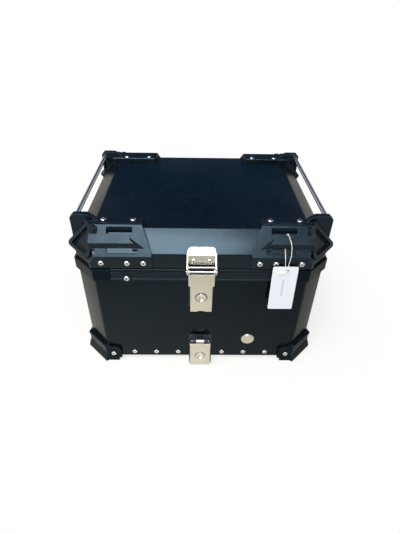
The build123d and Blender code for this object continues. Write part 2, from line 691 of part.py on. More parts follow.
def ear():
    """Upright plate that carries the end of a side rail."""
    outline = from_edge([(49, 0), (47, PLATE_T), (43, 9), (33, EAR_UP - 1.5), (28, EAR_UP), (6, EAR_UP),
                         (0, EAR_UP - 6), (0, 1.0 - LID_RISE), (0, -LID_RISE), (SLOPE_RUN_X, 0)])
    plate = prism_y(outline, EAR_IN, EAR_IN + EAR_T)
    hollow = from_edge([(28, -5.5), (22, EAR_UP - 14.5), (7.5, EAR_UP - 14.5), (3.5, -2.5),
                        (3.5, 7.7 - LID_RISE),
                        (7, 9.7 - LID_RISE)])
    rib = from_edge([(29, 7.2 - LID_RISE), (26, 7.2 - LID_RISE), (2, 7.5), (5, 7.5)])
    cross_rib = from_edge([(5, 1.2 - LID_RISE), (2, 1.2 - LID_RISE), (26, 7.5), (29, 7.5)])
    pocket = prism_y(hollow, EAR_IN, EAR_IN + 7.0)
    pocket = pocket - prism_y(rib, EAR_IN + 2.0, EAR_IN + 7.0) - prism_y(cross_rib, EAR_IN + 2.0, EAR_IN + 7.0)
    return plate - pocket


def bracket():
    """Moulded bracket of the lid's +X +Y corner."""
    main = prism_x(bracket_section(), BRACKET_END, HALF_W - 25.0)
    plan = [(BRACKET_END, CASE_D), (BRACKET_END, HALF_D - 0.5), (PLATE_END - 1.0, CREST_Y),
            (PLATE_END, PLATE_IN + 4),
            (PLATE_END + 4, PLATE_IN - 1), (CASE_W, PLATE_IN - 1), (CASE_W, CASE_D)]
    main = main & prism_z(plan, RIM_BOTTOM, EAR_TOP)
    main = main - corner_wedge(ARROW_SUM - 5.0)
    main = main - (facet_side(BRACKET_T))
    body = main + ridge() - strap_channel()
    body = body - groove()
    body = body + (arrow_slab(0, LID_CORNER_SUM, ARROW_SUM) + ear_web() + ear())
    body = body + (ridge() & block(HALF_W - 55.0, HALF_W - 35.0, PLATE_IN, CASE_D, RIM_BOTTOM, EAR_TOP))
    body = body - arrow_slab(ARROW_RIM, ARROW_SUM - ARROW_POCKET * TILT_N, ARROW_SUM + 20)
    body = body - lid_form(0, LID_BOTTOM)
    body = body - rod_y(ROD_X, ROD_Z, 0, EAR_IN + ROD_SEAT, ROD_R + BORE_CLEAR)
    return cut_all(body, rivet_holes(top_spots + skirt_spots))


def groove():
    """Deep groove between the slope and the triangular frame."""
    far_y = HALF_D + 15.0
    slope = [(CREST_Y - 2, FAR), (CREST_Y - 2, LID_TOP + 3.5), (RIDGE_Y0, LID_TOP - 11.5),
             (far_y, LID_TOP - 11.5),
             (far_y, FAR)]
    band = [(RIDGE_Y1, LID_KNEE + 8.7), (RIDGE_Y1 + 0.5, LID_KNEE + 4.2), (HALF_D + 1.5, LID_KNEE - 0.8),
            (far_y, LID_KNEE - 0.8), (far_y, LID_KNEE + 9.2)]
    return prism_x(slope, HALF_W - 45.5, HALF_W - 40.5) + prism_x(band, HALF_W - 45.0, HALF_W - 38.5)


def ear_web():
    """Solid that joins the ear, the top plate and the triangular frame."""
    outline = from_edge([(49, -8), (49, PLATE_T), (39, PLATE_T + 1), (3, 11.2 - LID_RISE),
                         (1, 1.2 - LID_RISE),
                         (20, -4.8 - LID_RISE)])
    web = prism_y(outline, EAR_IN + 4.0, HALF_D - 18.0)
    return web - corner_wedge(ARROW_SUM - 2.0)


save_corners("bracket", bracket())


# ---- side rails ----
def side_rail():
    rod = rod_y(ROD_X, ROD_Z, -EAR_IN - ROD_SEAT, EAR_IN + ROD_SEAT, ROD_R)
    return chamfer(rod.edges().filter_by(GeomType.CIRCLE), 0.5)


rail = side_rail()
save("side_rail_right", rail)
save("side_rail_left", to_left(rail))


# ---- rear hinges ----
def knuckle_spans(keep):
    """X ranges of the knuckles with the given parity on the +X hinge."""
    pitch = HINGE_W / KNUCKLES
    x0 = HINGE_X - HINGE_W / 2
    return [(x0 + k * pitch + CLEAR / 2, x0 + (k + 1) * pitch - CLEAR / 2)
            for k in range(KNUCKLES) if k % 2 == keep]


def hinge_body_leaf():
    x0, x1 = HINGE_X - HINGE_W / 2, HINGE_X + HINGE_W / 2
    y0 = HALF_D + RIM_LIP
    leaf = block(x0, x1, y0, y0 + HINGE_T, RIM_BOTTOM + 3.5, HINGE_Z - HINGE_KNUCKLE_R - 2 * CLEAR)
    for a, b in knuckle_spans(0):
        leaf = leaf + block(a, b, y0, y0 + HINGE_T, HINGE_Z - HINGE_KNUCKLE_R - 1.0, HINGE_Z)
        leaf = leaf + rod_x(HINGE_Y, HINGE_Z, a, b, HINGE_KNUCKLE_R)
    leaf = leaf - rod_x(HINGE_Y, HINGE_Z, x0 - 5, x1 + 5, HINGE_PIN_R + BORE_CLEAR)
    return cut_all(leaf, rivet_holes(hinge_body_spots))


def hinge_lid_leaf():
    x0, x1 = HINGE_X - HINGE_W / 2, HINGE_X + HINGE_W / 2
    low = LID_BOTTOM + 5.0
    leaf = block(x0, x1, HALF_D, HALF_D + HINGE_T, low, LID_KNEE - 3.3)
    inner = HINGE_Y - HINGE_KNUCKLE_R
    web = [(HALF_D, low), (HALF_D + HINGE_T, low + 3.0), (HINGE_Y, HINGE_Z + HINGE_KNUCKLE_R),
           (HINGE_Y, HINGE_Z),
           (inner, HINGE_Z), (inner, LID_BOTTOM + 1.5), (HALF_D, LID_BOTTOM + 3.5)]
    for a, b in knuckle_spans(1):
        leaf = leaf + prism_x(web, a, b) + rod_x(HINGE_Y, HINGE_Z, a, b, HINGE_KNUCKLE_R)
    leaf = leaf - rod_x(HINGE_Y, HINGE_Z, x0 - 5, x1 + 5, HINGE_PIN_R + BORE_CLEAR)
    return cut_all(leaf, rivet_holes(hinge_lid_spots))


def hinge_pin():
    x0, x1 = HINGE_X - HINGE_W / 2, HINGE_X + HINGE_W / 2
    end = HINGE_HEAD_T
    pin = rod_x(HINGE_Y, HINGE_Z, x0 - end, x1 + end, HINGE_PIN_R)
    pin = pin + rod_x(HINGE_Y, HINGE_Z, x0 - end, x0, HINGE_HEAD_R)
    return pin + rod_x(HINGE_Y, HINGE_Z, x1, x1 + end, HINGE_HEAD_R)


for name, piece in (("hinge_body_leaf", hinge_body_leaf()), ("hinge_lid_leaf", hinge_lid_leaf()),
                    ("hinge_pin", hinge_pin())):
    save(name + "_right", piece)
    save(name + "_left", to_left(piece))


# ---- key locks, the same in both latches ----
def lock_pieces(z):
    """Barrel, turning plug, cam and carrier plate of a lock at height z, facing +Y."""
    face = HALF_D + PLUG_FACE_OUT
    carrier_y = HALF_D + CARRIER_OUT
    barrel = rod_y(0, z, HALF_D + BARREL_BACK, face, BARREL_R)
    barrel = chamfer(barrel.edges().filter_by(GeomType.CIRCLE).group_by(Axis.Y)[-1], 1.2)
    barrel = barrel - rod_y(0, z, HALF_D, face + 1, PLUG_R + BORE_CLEAR)
    plug = rod_y(0, z, HALF_D + PLUG_BACK, face - 0.4, PLUG_R)
    plug = plug - block(-KEY_HALF, KEY_HALF, face - 6.0, face + 1, z - 1.8, z - 0.4)
    cam_y = HALF_D + PLUG_BACK - CAM_T
    cam = block(-CAM_HALF, CAM_HALF, cam_y, cam_y + CAM_T, z - CAM_HALF, z + CAM_REACH)
    cam = cam & rod_y(0, z, cam_y - 1, cam_y + CAM_T + 1, CAM_REACH)
    return barrel, plug, cam, (carrier_y, carrier_y + CARRIER_T)


def lock_carrier(z, half_w, span):
    plate = block(-half_w, half_w, span[0], span[1], z - CARRIER_HALF, z + CARRIER_HALF)
    return plate - rod_y(0, z, span[0] - 1, span[1] + 1, BARREL_R)


# ---- lid latch ----
def strike_bracket():
    """Bent plate riveted to the lid, with two cheeks that hold the lever's pivot pin."""
    half = STRIKE_W / 2
    t = STRIKE_T
    foot_z = LID_BOTTOM + 8.0
    section = [(HALF_D, foot_z), (HALF_D + t, foot_z), on_knee(t), on_front_slope(STRIKE_REACH, t),
               on_front_slope(STRIKE_REACH, 0), (HALF_D, LID_KNEE)]
    plate = prism_x(section, -half, half)
    y_top = on_front_slope(STRIKE_REACH, 0)[0]
    y_cut = on_front_slope(STRIKE_REACH - STRIKE_CORNER, 0)[0]
    y_bend = on_front_slope(1.0, 0)[0]
    top_half = STRIKE_TOP_W / 2
    for s in (1, -1):
        clip = [(s * (top_half - STRIKE_CORNER), y_top - 3.0), (s * (top_half - STRIKE_CORNER), y_top),
                (s * top_half, y_cut), (s * top_half, y_bend), (s * (half + 1), y_bend),
                (s * (half + 1), y_top - 3.0)]
        plate = plate - prism_z(clip, LID_KNEE, LID_TOP)
    pivot_y = HALF_D + LATCH_PIVOT_OUT
    cheek = [(HALF_D, LID_KNEE - 2.8), (HALF_D + t, LID_KNEE - 0.8), (pivot_y + 4.0, LATCH_PIVOT_Z + 8.6),
             (pivot_y + 4.5, LATCH_PIVOT_Z + 0.6), (pivot_y + 3.0, LATCH_PIVOT_Z - 4.9),
             (pivot_y - 4.5, LATCH_PIVOT_Z - 5.9), (HALF_D + 5.0, LID_BOTTOM), (HALF_D + t, foot_z),
             (HALF_D, foot_z)]
    for s in (1, -1):
        side = prism_x(cheek, min(s * half, s * (half - t)), max(s * half, s * (half - t)))
        plate = plate + side
    plate = plate - rod_x(pivot_y, LATCH_PIVOT_Z, -half - 5, half + 5, LATCH_PIN_R + BORE_CLEAR)
    plate = plate - rod_x(HALF_D + CROSS_OUT, CROSS_Z, -half - 5, half + 5, CROSS_R + BORE_CLEAR)
    return cut_all(to_front(plate), rivet_holes(strike_spots))


def on_knee(out):
    """Outer edge of a sheet of that thickness, bent over the lid's knee."""
    return (HALF_D + out, LID_KNEE + out * (slope_len - LID_RISE) / SLOPE_RUN_Y)


def headed_pin(y, z, r, half, head_r, head_t):
    pin = rod_x(y, z, -half - head_t, half + head_t, r)
    ends = rod_x(y, z, half, half + head_t, head_r) + rod_x(y, z, -half - head_t, -half, head_r)
    return to_front(pin + ends)


def lever_flange(x0, x1, z0, z1):
    return block(x0, x1, FLANGE_BACK, LEVER_BACK, z0, z1)


def latch_lever():
    """Folded lever: a wide upper part with two pierced ears and a narrow part with the lock hole."""
    t = LATCH_PLATE_T
    wide = LATCH_W / 2
    narrow = LATCH_NARROW / 2
    pivot_y = HALF_D + LATCH_PIVOT_OUT
    outline = [(-narrow, LATCH_END), (narrow, LATCH_END), (narrow, LATCH_STEP), (wide, LATCH_STEP + 2.0),
               (wide, LATCH_TOP), (-wide, LATCH_TOP), (-wide, LATCH_STEP + 2.0), (-narrow, LATCH_STEP)]
    lever = prism_y(outline, LEVER_BACK, LEVER_FACE)
    for s in (1, -1):
        a, b = sorted((s * (wide - t), s * wide))
        lever = lever + lever_flange(a, b, LATCH_STEP + 2.0, LATCH_TOP)
        ear_outline = [(pivot_y - LATCH_EAR_R, LATCH_PIVOT_Z), (FLANGE_BACK, LATCH_TOP - 6.0),
                       (LEVER_BACK, LATCH_TOP - 6.0), (LEVER_FACE, LATCH_TOP),
                       (pivot_y + LATCH_EAR_R, LATCH_PIVOT_Z)]
        lever = lever + prism_x(ear_outline, a, b) + rod_x(pivot_y, LATCH_PIVOT_Z, a, b, LATCH_EAR_R)
        a, b = sorted((s * (narrow - t), s * narrow))
        lever = lever + lever_flange(a, b, LATCH_END + 2.0, LATCH_STEP)
    lever = lever - rod_y(0, LATCH_LOCK_Z, HALF_D, LEVER_FACE + 1, BARREL_R + LATCH_HOLE_GAP)
    lever = lever - rod_x(pivot_y, LATCH_PIVOT_Z, -wide - 1, wide + 1, LATCH_PIN_R + BORE_CLEAR)
    lever = lever - (Pos(0, (LEVER_BACK + LEVER_FACE) / 2, LATCH_END - 20.0) * Rot(90, 0, 0) * Cylinder(22.0, 6))
    return to_front(lever)


def latch_base():
    """Plate on the body behind the lever, with two side ears."""
    half = BASE_HALF
    plate = block(-half, half, HALF_D, HALF_D + BASE_T, LATCH_END, RIM_BOTTOM - 1.0)
    for s in (1, -1):
        a, b = sorted((s * (half - 1.6), s * half))
        plate = plate + block(a, b, HALF_D, LEVER_BACK - 0.7, RIM_BOTTOM - 18.0, RIM_BOTTOM - 6.0)
    plate = to_front(plate)
    return cut_all(plate, rivet_holes(base_spots))


def latch_backing():
    back = HALF_D - WALL
    plate = to_front(block(-BASE_HALF, BASE_HALF, back - BACKING_T, back, LATCH_END + 1.0, RIM_BOTTOM - 3.0))
    return cut_all(plate, rivet_holes(base_spots))


barrel, plug, cam, span = lock_pieces(LATCH_LOCK_Z)
save("strike_bracket", strike_bracket())
save("latch_pin", headed_pin(HALF_D + LATCH_PIVOT_OUT, LATCH_PIVOT_Z, LATCH_PIN_R, STRIKE_W / 2, 3.4, 1.4))
save("latch_cross_bar", headed_pin(HALF_D + CROSS_OUT, CROSS_Z, CROSS_R, STRIKE_W / 2, 2.8, 0.8))
save("latch_lever", latch_lever())
save("latch_base", latch_base())
save("latch_backing", latch_backing())
save("latch_lock_carrier", to_front(lock_carrier(LATCH_LOCK_Z, LATCH_NARROW / 2 - LATCH_PLATE_T, span)))
save("latch_lock_barrel", to_front(barrel))
save("latch_lock_plug", to_front(plug))
save("latch_lock_cam", to_front(cam))


# ---- lower latch ----
def mount_base():
    """Base plate with two cheeks and two hinge knuckles, hung a little below the underside."""
    half = MOUNT_BASE_HALF
    plate = block(-half, half, HALF_D, HALF_D + BASE_T, 0, MOUNT_PIVOT_Z + 5.0)
    for s in (1, -1):
        a, b = sorted((s * (HOOK_HALF + 1.5), s * half))
        plate = plate + block(a, b, HALF_D, HALF_D + BASE_T, MOUNT_END + 1.0, 0)
        a, b = sorted((s * (half - 1.6), s * half))
        cheek = [(HALF_D, MOUNT_END + 1.0), (HALF_D + 13.5, MOUNT_END + 1.0), (HALF_D + 13.5, 6.0),
                 (HALF_D + 8.0, 22.0),
                 (HALF_D + 6.0, 42.0), (HALF_D, 48.0)]
        plate = plate + prism_x(cheek, a, b)
        a, b = sorted((s * (MOUNT_KNUCKLE + CLEAR), s * MOUNT_LUG_OUTER))
        lug_y = HALF_D + MOUNT_PIVOT_OUT
        plate = plate + block(a, b, HALF_D, lug_y, MOUNT_PIVOT_Z - 2.0, MOUNT_PIVOT_Z + 2.0)
        plate = plate + rod_x(lug_y, MOUNT_PIVOT_Z, a, b, 3.0)
    plate = plate - rod_x(HALF_D + MOUNT_PIVOT_OUT, MOUNT_PIVOT_Z, -30, 30, MOUNT_PIN_R + BORE_CLEAR)
    return cut_all(to_front(plate), rivet_holes(mount_low_spots + mount_high_spots))


def mount_lever():
    """Lever hinged at its top, with a hook finger that reaches under the case."""
    t = LATCH_PLATE_T
    half = MOUNT_W / 2
    pivot_y = HALF_D + MOUNT_PIVOT_OUT
    lever = block(-half, half, LEVER_BACK, LEVER_FACE, MOUNT_END, MOUNT_TOP)
    for s in (1, -1):
        a, b = sorted((s * (half - t), s * half))
        lever = lever + lever_flange(a, b, MOUNT_END, MOUNT_TOP - 5.0)
    curl = prism_x([(pivot_y, MOUNT_PIVOT_Z - 3.3), (LEVER_BACK, MOUNT_TOP - 2.0),
                    (LEVER_FACE, MOUNT_TOP - 2.0),
                    (LEVER_FACE, MOUNT_TOP),
                    (pivot_y + 1.5, MOUNT_PIVOT_Z + 2.9)], -MOUNT_KNUCKLE, MOUNT_KNUCKLE)
    lever = lever + curl + rod_x(pivot_y, MOUNT_PIVOT_Z, -MOUNT_KNUCKLE, MOUNT_KNUCKLE, MOUNT_KNUCKLE_R)
    tip_y = LEVER_FACE - HOOK_REACH
    lever = lever + block(-HOOK_HALF, HOOK_HALF, tip_y, LEVER_BACK, HOOK_TOP - HOOK_T, HOOK_TOP)
    lever = lever + block(-HOOK_HALF, HOOK_HALF, tip_y, tip_y + HOOK_T, HOOK_TOP, HOOK_TOP + 2.2)
    lever = lever - rod_y(0, MOUNT_LOCK_Z, LEVER_BACK - 1, LEVER_FACE + 1, BARREL_R + MOUNT_HOLE_GAP)
    lever = lever - rod_x(pivot_y, MOUNT_PIVOT_Z, -half, half, MOUNT_PIN_R + BORE_CLEAR)
    return to_front(lever)


barrel, plug, cam, span = lock_pieces(MOUNT_LOCK_Z)
save("mount_base", mount_base())
save("mount_pin", headed_pin(HALF_D + MOUNT_PIVOT_OUT, MOUNT_PIVOT_Z, MOUNT_PIN_R, MOUNT_LUG_OUTER, 2.5, 0.9))
save("mount_lever", mount_lever())
save("mount_lock_carrier", to_front(lock_carrier(MOUNT_LOCK_Z, MOUNT_W / 2 - LATCH_PLATE_T, span)))
save("mount_lock_barrel", to_front(barrel))
save("mount_lock_plug", to_front(plug))
save("mount_lock_cam", to_front(cam))


# ---- wiring port cover ----
def port_cover():
    disc = rod_y(PORT_X, PORT_Z, HALF_D, HALF_D + 2.0, PORT_R)
    disc = chamfer(disc.edges().filter_by(GeomType.CIRCLE).group_by(Axis.Y)[-1], 0.6)
    line = rod_y(PORT_X, PORT_Z, HALF_D + 1.5, HALF_D + 3, 9.3) - rod_y(PORT_X, PORT_Z, HALF_D + 1, HALF_D + 3, 8.5)
    notch = block(PORT_X - 0.8, PORT_X + 0.8, HALF_D + 1.2, HALF_D + 3, PORT_Z + PORT_R - 2.4, PORT_Z + PORT_R)
    return disc - line - notch + rod_y(PORT_X, PORT_Z, HALF_D - 7.0, HALF_D, PORT_STEM_R)


def port_nut():
    nut = Plane(origin=(PORT_X, HALF_D - WALL, PORT_Z), z_dir=(0, -1, 0)) * extrude(RegularPolygon(NUT_R, 6), NUT_T)
    return nut - rod_y(PORT_X, PORT_Z, HALF_D - 20, HALF_D, PORT_STEM_R)


save("port_cover", to_front(port_cover()))
save("port_nut", to_front(port_nut()))


# ---- hang tag: card, string loop through the right front bracket, plastic clip ----
# The string leaves the clip, passes back through the card's hole, climbs in front of the bracket,
# crosses the strap bar, dives into the upper slot, runs under the bar and comes down again.
STRING_ROUTE = [
    (144.0, -202.1, 229.3), (146.9, -202.1, 229.9), (147.2, -197.4, 230.4), (147.8, -196.9, 240.0),
    (148.6, -197.1, 250.0), (149.7, -196.6, 259.0), (149.5, -193.6, 268.6), (148.9, -188.4, 277.4),
    (147.0, -180.0, 281.7), (145.2, -172.2, 286.3), (143.8, -169.4, 285.0), (143.0, -170.3, 281.2),
    (142.2, -174.1, 277.6), (141.0, -180.9, 270.0), (140.2, -187.7, 263.1), (140.0, -193.7, 259.3),
    (140.3, -197.3, 255.0), (141.2, -197.4, 246.0), (142.9, -197.0, 237.2), (146.0, -197.4, 229.0),
    (146.0, -202.1, 228.5), (144.0, -202.1, 227.8)]


def hang_tag():
    card = Box(TAG_W, TAG_T, TAG_H)
    card = fillet(card.edges().filter_by(Axis.Y), 3.0)
    card = card - Pos(TAG_HOLE_X, 0, TAG_H / 2 - TAG_HOLE_DROP) * Rot(90, 0, 0) * Cylinder(TAG_HOLE_R, 5)
    return Pos(TAG_X, TAG_TOP_Y, TAG_TOP_Z) * Rot(-TAG_LEAN, 0, 0) * Pos(0, 0, -TAG_H / 2) * card


def tag_string():
    """Tube along the route: straight runs joined by arcs as large as their runs allow."""
    points = [Vector(*p) for p in STRING_ROUTE]
    radii = []
    for before, here, after in zip(points, points[1:], points[2:]):
        turn = math.radians((here - before).get_angle(after - here))
        run = min((here - before).length, (after - here).length)
        radii.append(0.45 * run / math.tan(turn / 2))
    print("string radii", [round(r, 1) for r in radii])
    path = FilletPolyline(*points, radius=radii)
    tube = sweep(Plane(origin=path @ 0, z_dir=path % 0) * Circle(STRING_R), path=path)
    share = tube.volume / (math.pi * STRING_R ** 2 * path.length)
    print("string length", round(path.length, 1), "volume share", round(share, 4))
    return tube


def tag_clip():
    start = Vector(CLIP_START[0], STRING_ROUTE[0][1], CLIP_START[1])
    end = Vector(CLIP_END_X, STRING_ROUTE[0][1], (STRING_ROUTE[0][2] + STRING_ROUTE[-1][2]) / 2)
    axis = Plane(origin=start, z_dir=end - start)
    length = (end - start).length
    body = axis * Pos(0, 0, length / 2) * Cylinder(CLIP_R, length)
    ends = body.edges().filter_by(GeomType.CIRCLE)
    return chamfer(ends, 0.35)


save("tag", hang_tag())
save("tag_string", tag_string())
save("tag_clip", tag_clip())
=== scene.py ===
import math

import bpy
import numpy
from bpy.props import FloatProperty, FloatVectorProperty, PointerProperty
from mathutils import Matrix, Vector


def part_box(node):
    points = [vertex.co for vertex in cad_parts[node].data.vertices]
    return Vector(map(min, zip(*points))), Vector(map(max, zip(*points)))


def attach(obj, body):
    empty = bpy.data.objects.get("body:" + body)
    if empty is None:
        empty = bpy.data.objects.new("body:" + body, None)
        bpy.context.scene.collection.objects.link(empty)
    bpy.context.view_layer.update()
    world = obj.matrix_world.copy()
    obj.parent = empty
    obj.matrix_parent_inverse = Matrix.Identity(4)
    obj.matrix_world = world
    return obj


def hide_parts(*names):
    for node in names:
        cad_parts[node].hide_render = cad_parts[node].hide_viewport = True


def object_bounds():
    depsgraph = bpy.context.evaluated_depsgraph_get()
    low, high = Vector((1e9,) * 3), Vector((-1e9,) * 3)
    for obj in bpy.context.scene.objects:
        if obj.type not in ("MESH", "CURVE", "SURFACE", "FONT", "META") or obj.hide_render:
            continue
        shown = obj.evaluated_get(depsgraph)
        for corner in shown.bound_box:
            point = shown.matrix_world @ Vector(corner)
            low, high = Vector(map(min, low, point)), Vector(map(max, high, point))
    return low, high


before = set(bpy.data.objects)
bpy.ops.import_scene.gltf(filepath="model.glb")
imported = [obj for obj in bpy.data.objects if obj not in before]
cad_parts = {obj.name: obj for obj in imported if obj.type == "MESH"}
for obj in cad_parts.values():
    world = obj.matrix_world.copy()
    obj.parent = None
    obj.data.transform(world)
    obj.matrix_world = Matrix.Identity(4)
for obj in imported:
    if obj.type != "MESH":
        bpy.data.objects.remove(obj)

bl_info = {
    "name": "Top case looks",
    "version": (1, 0, 0),
    "blender": (4, 5, 0),
    "location": "View3D > Sidebar > Top case",
    "description": "Finished skins, fittings, hang tag and studio for a motorcycle top case",
    "category": "Object",
}

MM = 0.001
BLUED = (0.55, 0.80, 1.0)   # how the black coatings tint what they mirror
CAD_BOX = [list(corner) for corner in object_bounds()]

# ---- the case, in millimetres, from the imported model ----
BODY_LOW, BODY_HIGH = (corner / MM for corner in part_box("body_wall"))
LID_LOW, LID_HIGH = (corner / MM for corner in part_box("lid_shell"))
HALF_W = LID_HIGH.x
HALF_D = LID_HIGH.y
SHEET = 1.5             # thickness of the folded sheet
CORNER_CUT = 37.5       # leg of the upright corner facets
KNEE = LID_HIGH.z - 33.7    # height where the lid's slopes begin
SLOPE_X = 39.0          # how far the side slopes reach in
SLOPE_Y = 31.8          # how far the front and rear slopes reach in
TILT = 0.6              # slanted corner facets lie on x + y + 0.6 z
CORNER_SUM = 2 * HALF_W - (HALF_W - HALF_D) - CORNER_CUT + TILT * (LID_LOW.z + 8.667)

# ---- hang tag ----
STRING_ROUTE = [
    (144.0, -202.1, 229.3), (146.9, -202.1, 229.9), (147.2, -197.4, 230.4), (147.8, -196.9, 240.0),
    (148.6, -197.1, 250.0), (149.7, -196.6, 259.0), (149.5, -193.6, 268.6), (148.9, -188.4, 277.4),
    (147.0, -180.0, 281.7), (145.2, -172.2, 286.3), (143.8, -169.4, 285.0), (143.0, -170.3, 281.2),
    (142.2, -174.1, 277.6), (141.0, -180.9, 270.0), (140.2, -187.7, 263.1), (140.0, -193.7, 259.3),
    (140.3, -197.3, 255.0), (141.2, -197.4, 246.0), (142.9, -197.0, 237.2), (146.0, -197.4, 229.0),
    (146.0, -202.1, 228.5), (144.0, -202.1, 227.8)]
STRING_THICK = 0.0012
CLIP_ENDS = ((130.3, -202.1, 227.4), (143.7, -202.1, 228.55))
TAG_PLACE = (143.5, -198.8, 238.0)
TAG_SIZE = (44.0, 92.0)


# ---- settings that a user may change ----
class TopCaseSizes(bpy.types.PropertyGroup):
    fold_radius: FloatProperty(name="Fold radius", description="Folds in the lid's sheet, outside",
                               default=2.4 * MM, min=0, unit="LENGTH", subtype="DISTANCE")
    wall_fold_radius: FloatProperty(name="Wall fold radius", description="Upright folds of the body",
                                    default=3.2 * MM, min=0, unit="LENGTH", subtype="DISTANCE")
    mould_edge: FloatProperty(name="Moulded edge", description="Rounding of the plastic parts' edges",
                              default=0.9 * MM, min=0, unit="LENGTH", subtype="DISTANCE")
    plate_edge: FloatProperty(name="Plate edge", description="Rounding of the stainless plates' edges",
                              default=0.4 * MM, min=0, unit="LENGTH", subtype="DISTANCE")


class TopCaseColours(bpy.types.PropertyGroup):
    paint: FloatVectorProperty(name="Paint", description="Powder coat of the sheet", size=3, subtype="COLOR",
                               default=(0.0008, 0.0024, 0.0036), min=0, max=1)
    plastic: FloatVectorProperty(name="Plastic", description="Moulded corner parts", size=3, subtype="COLOR",
                                 default=(0.0010, 0.0028, 0.0046), min=0, max=1)
    stainless: FloatVectorProperty(name="Stainless", description="Latch plates", size=3, subtype="COLOR",
                                   default=(0.70, 0.685, 0.60), min=0, max=1)
    rail: FloatVectorProperty(name="Rails", description="Polished side rails", size=3, subtype="COLOR",
                              default=(0.92, 0.89, 0.88), min=0, max=1)
    card: FloatVectorProperty(name="Card", description="Card of the hang tag", size=3, subtype="COLOR",
                              default=(0.60, 0.62, 0.66), min=0, max=1)


class StudioSettings(bpy.types.PropertyGroup):
    key_power: FloatProperty(name="Key power", description="Softbox above and in front of the case",
                             default=78.0, min=0, unit="POWER")
    side_power: FloatProperty(name="Side power", description="Large panel on the left", default=22.0, min=0,
                              unit="POWER")
    overhead_power: FloatProperty(name="Overhead power", description="Panel above the case", default=34.0,
                                  min=0, unit="POWER")
    back_power: FloatProperty(name="Back power", description="High panel behind the case",
                              default=8.0, min=0, unit="POWER")
    floor_colour: FloatVectorProperty(name="Floor", description="Pale studio floor", size=3, subtype="COLOR",
                                      default=(0.66, 0.645, 0.61), min=0, max=1)


def sizes():
    return bpy.context.scene.top_case_sizes


def colours():
    return bpy.context.scene.top_case_colours


# ---- modelling tools ----
def edit(piece, mode="FACE"):
    """Edit mode on one piece, with nothing selected in it."""
    bpy.ops.object.select_all(action="DESELECT")
    piece.select_set(True)
    bpy.context.view_layer.objects.active = piece
    bpy.ops.object.mode_set(mode="EDIT")
    bpy.ops.mesh.select_mode(type=mode)
    bpy.ops.mesh.select_all(action="DESELECT")


def leave():
    bpy.ops.object.mode_set(mode="OBJECT")


def pick_faces(piece, test):
    """Edit mode with the faces selected whose centre and normal pass the test."""
    edit(piece, "FACE")
    leave()
    for face in piece.data.polygons:
        face.select = test(face.center, face.normal)
    bpy.ops.object.mode_set(mode="EDIT")


def pick_edges(piece, test):
    """Edit mode with the edges selected whose two ends pass the test."""
    edit(piece, "EDGE")
    leave()
    points = piece.data.vertices
    for edge in piece.data.edges:
        edge.select = test(points[edge.vertices[0]].co, points[edge.vertices[1]].co)
    bpy.ops.object.mode_set(mode="EDIT")


def slice_off(piece, point, normal):
    """Cut the piece on a plane and close it, dropping the side that the normal points to."""
    edit(piece)
    bpy.ops.mesh.select_all(action="SELECT")
    bpy.ops.mesh.bisect(plane_co=Vector(point) * MM, plane_no=Vector(normal).normalized(), use_fill=True,
                        clear_outer=True)
    leave()


def box(name, low, high):
    """Start of a piece: a box between two corners in millimetres."""
    low, high = Vector(low) * MM, Vector(high) * MM
    bpy.ops.object.select_all(action="DESELECT")
    bpy.ops.mesh.primitive_cube_add(size=1, location=(low + high) / 2)
    piece = bpy.context.active_object
    piece.name = name
    piece.data.name = name
    piece.scale = high - low
    bpy.ops.object.transform_apply(location=True, rotation=True, scale=True)
    return piece


def round_bar(name, start, end, radius, sides=48):
    """Start of a piece: a cylinder between two points, in millimetres."""
    start, end = Vector(start) * MM, Vector(end) * MM
    axis = end - start
    bpy.ops.object.select_all(action="DESELECT")
    bpy.ops.mesh.primitive_cylinder_add(vertices=sides, radius=radius * MM, depth=axis.length,
                                        location=(start + end) / 2,
                                        rotation=axis.to_track_quat("Z", "Y").to_euler())
    piece = bpy.context.active_object
    piece.name = name
    piece.data.name = name
    bpy.ops.object.transform_apply(location=True, rotation=True, scale=True)
    return piece


def modify(piece, kind, **settings):
    """Apply one modifier to the piece."""
    bpy.ops.object.select_all(action="DESELECT")
    piece.select_set(True)
    bpy.context.view_layer.objects.active = piece
    step = piece.modifiers.new(kind.title(), kind)
    for key, value in settings.items():
        setattr(step, key, value)
    bpy.ops.object.modifier_apply(modifier=step.name)


def cut_with(piece, tool):
    modify(piece, "BOOLEAN", operation="DIFFERENCE", object=tool, solver="EXACT")
    bpy.data.objects.remove(tool)


def smooth(piece, degrees=32):
    bpy.ops.object.select_all(action="DESELECT")
    piece.select_set(True)
    bpy.context.view_layer.objects.active = piece
    bpy.ops.object.shade_smooth_by_angle(angle=math.radians(degrees))


def finish_piece(piece, body, slot, material, *nodes):
    """Give the piece its material, its body and the CAD nodes that it stands for; the slot is not used."""
    piece.data.materials.clear()
    piece.data.materials.append(material)
    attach(piece, body)
    if nodes:
        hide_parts(*nodes)


def softened(node, name, width, crease=28):
    """A CAD node's shape with its edges rounded, as a new piece."""
    piece = bpy.data.objects.new(name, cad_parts[node].data.copy())
    piece.data.name = name
    bpy.context.scene.collection.objects.link(piece)
    edit(piece, "VERT")
    bpy.ops.mesh.select_all(action="SELECT")
    bpy.ops.mesh.remove_doubles(threshold=0.002 * MM)
    bpy.ops.mesh.dissolve_limited(angle_limit=math.radians(0.6))
    leave()
    modify(piece, "BEVEL", width=width, segments=2, limit_method="ANGLE", angle_limit=math.radians(crease),
           miter_outer="MITER_ARC")
    smooth(piece, 50)
    modify(piece, "WEIGHTED_NORMAL", weight=100, keep_sharp=True)
    return piece


# ---- node tools and effects that several finishes share ----
def node(tree, kind, place=(0, 0), **settings):
    made = tree.nodes.new(kind)
    made.location = place
    for key, value in settings.items():
        setattr(made, key, value)
    return made


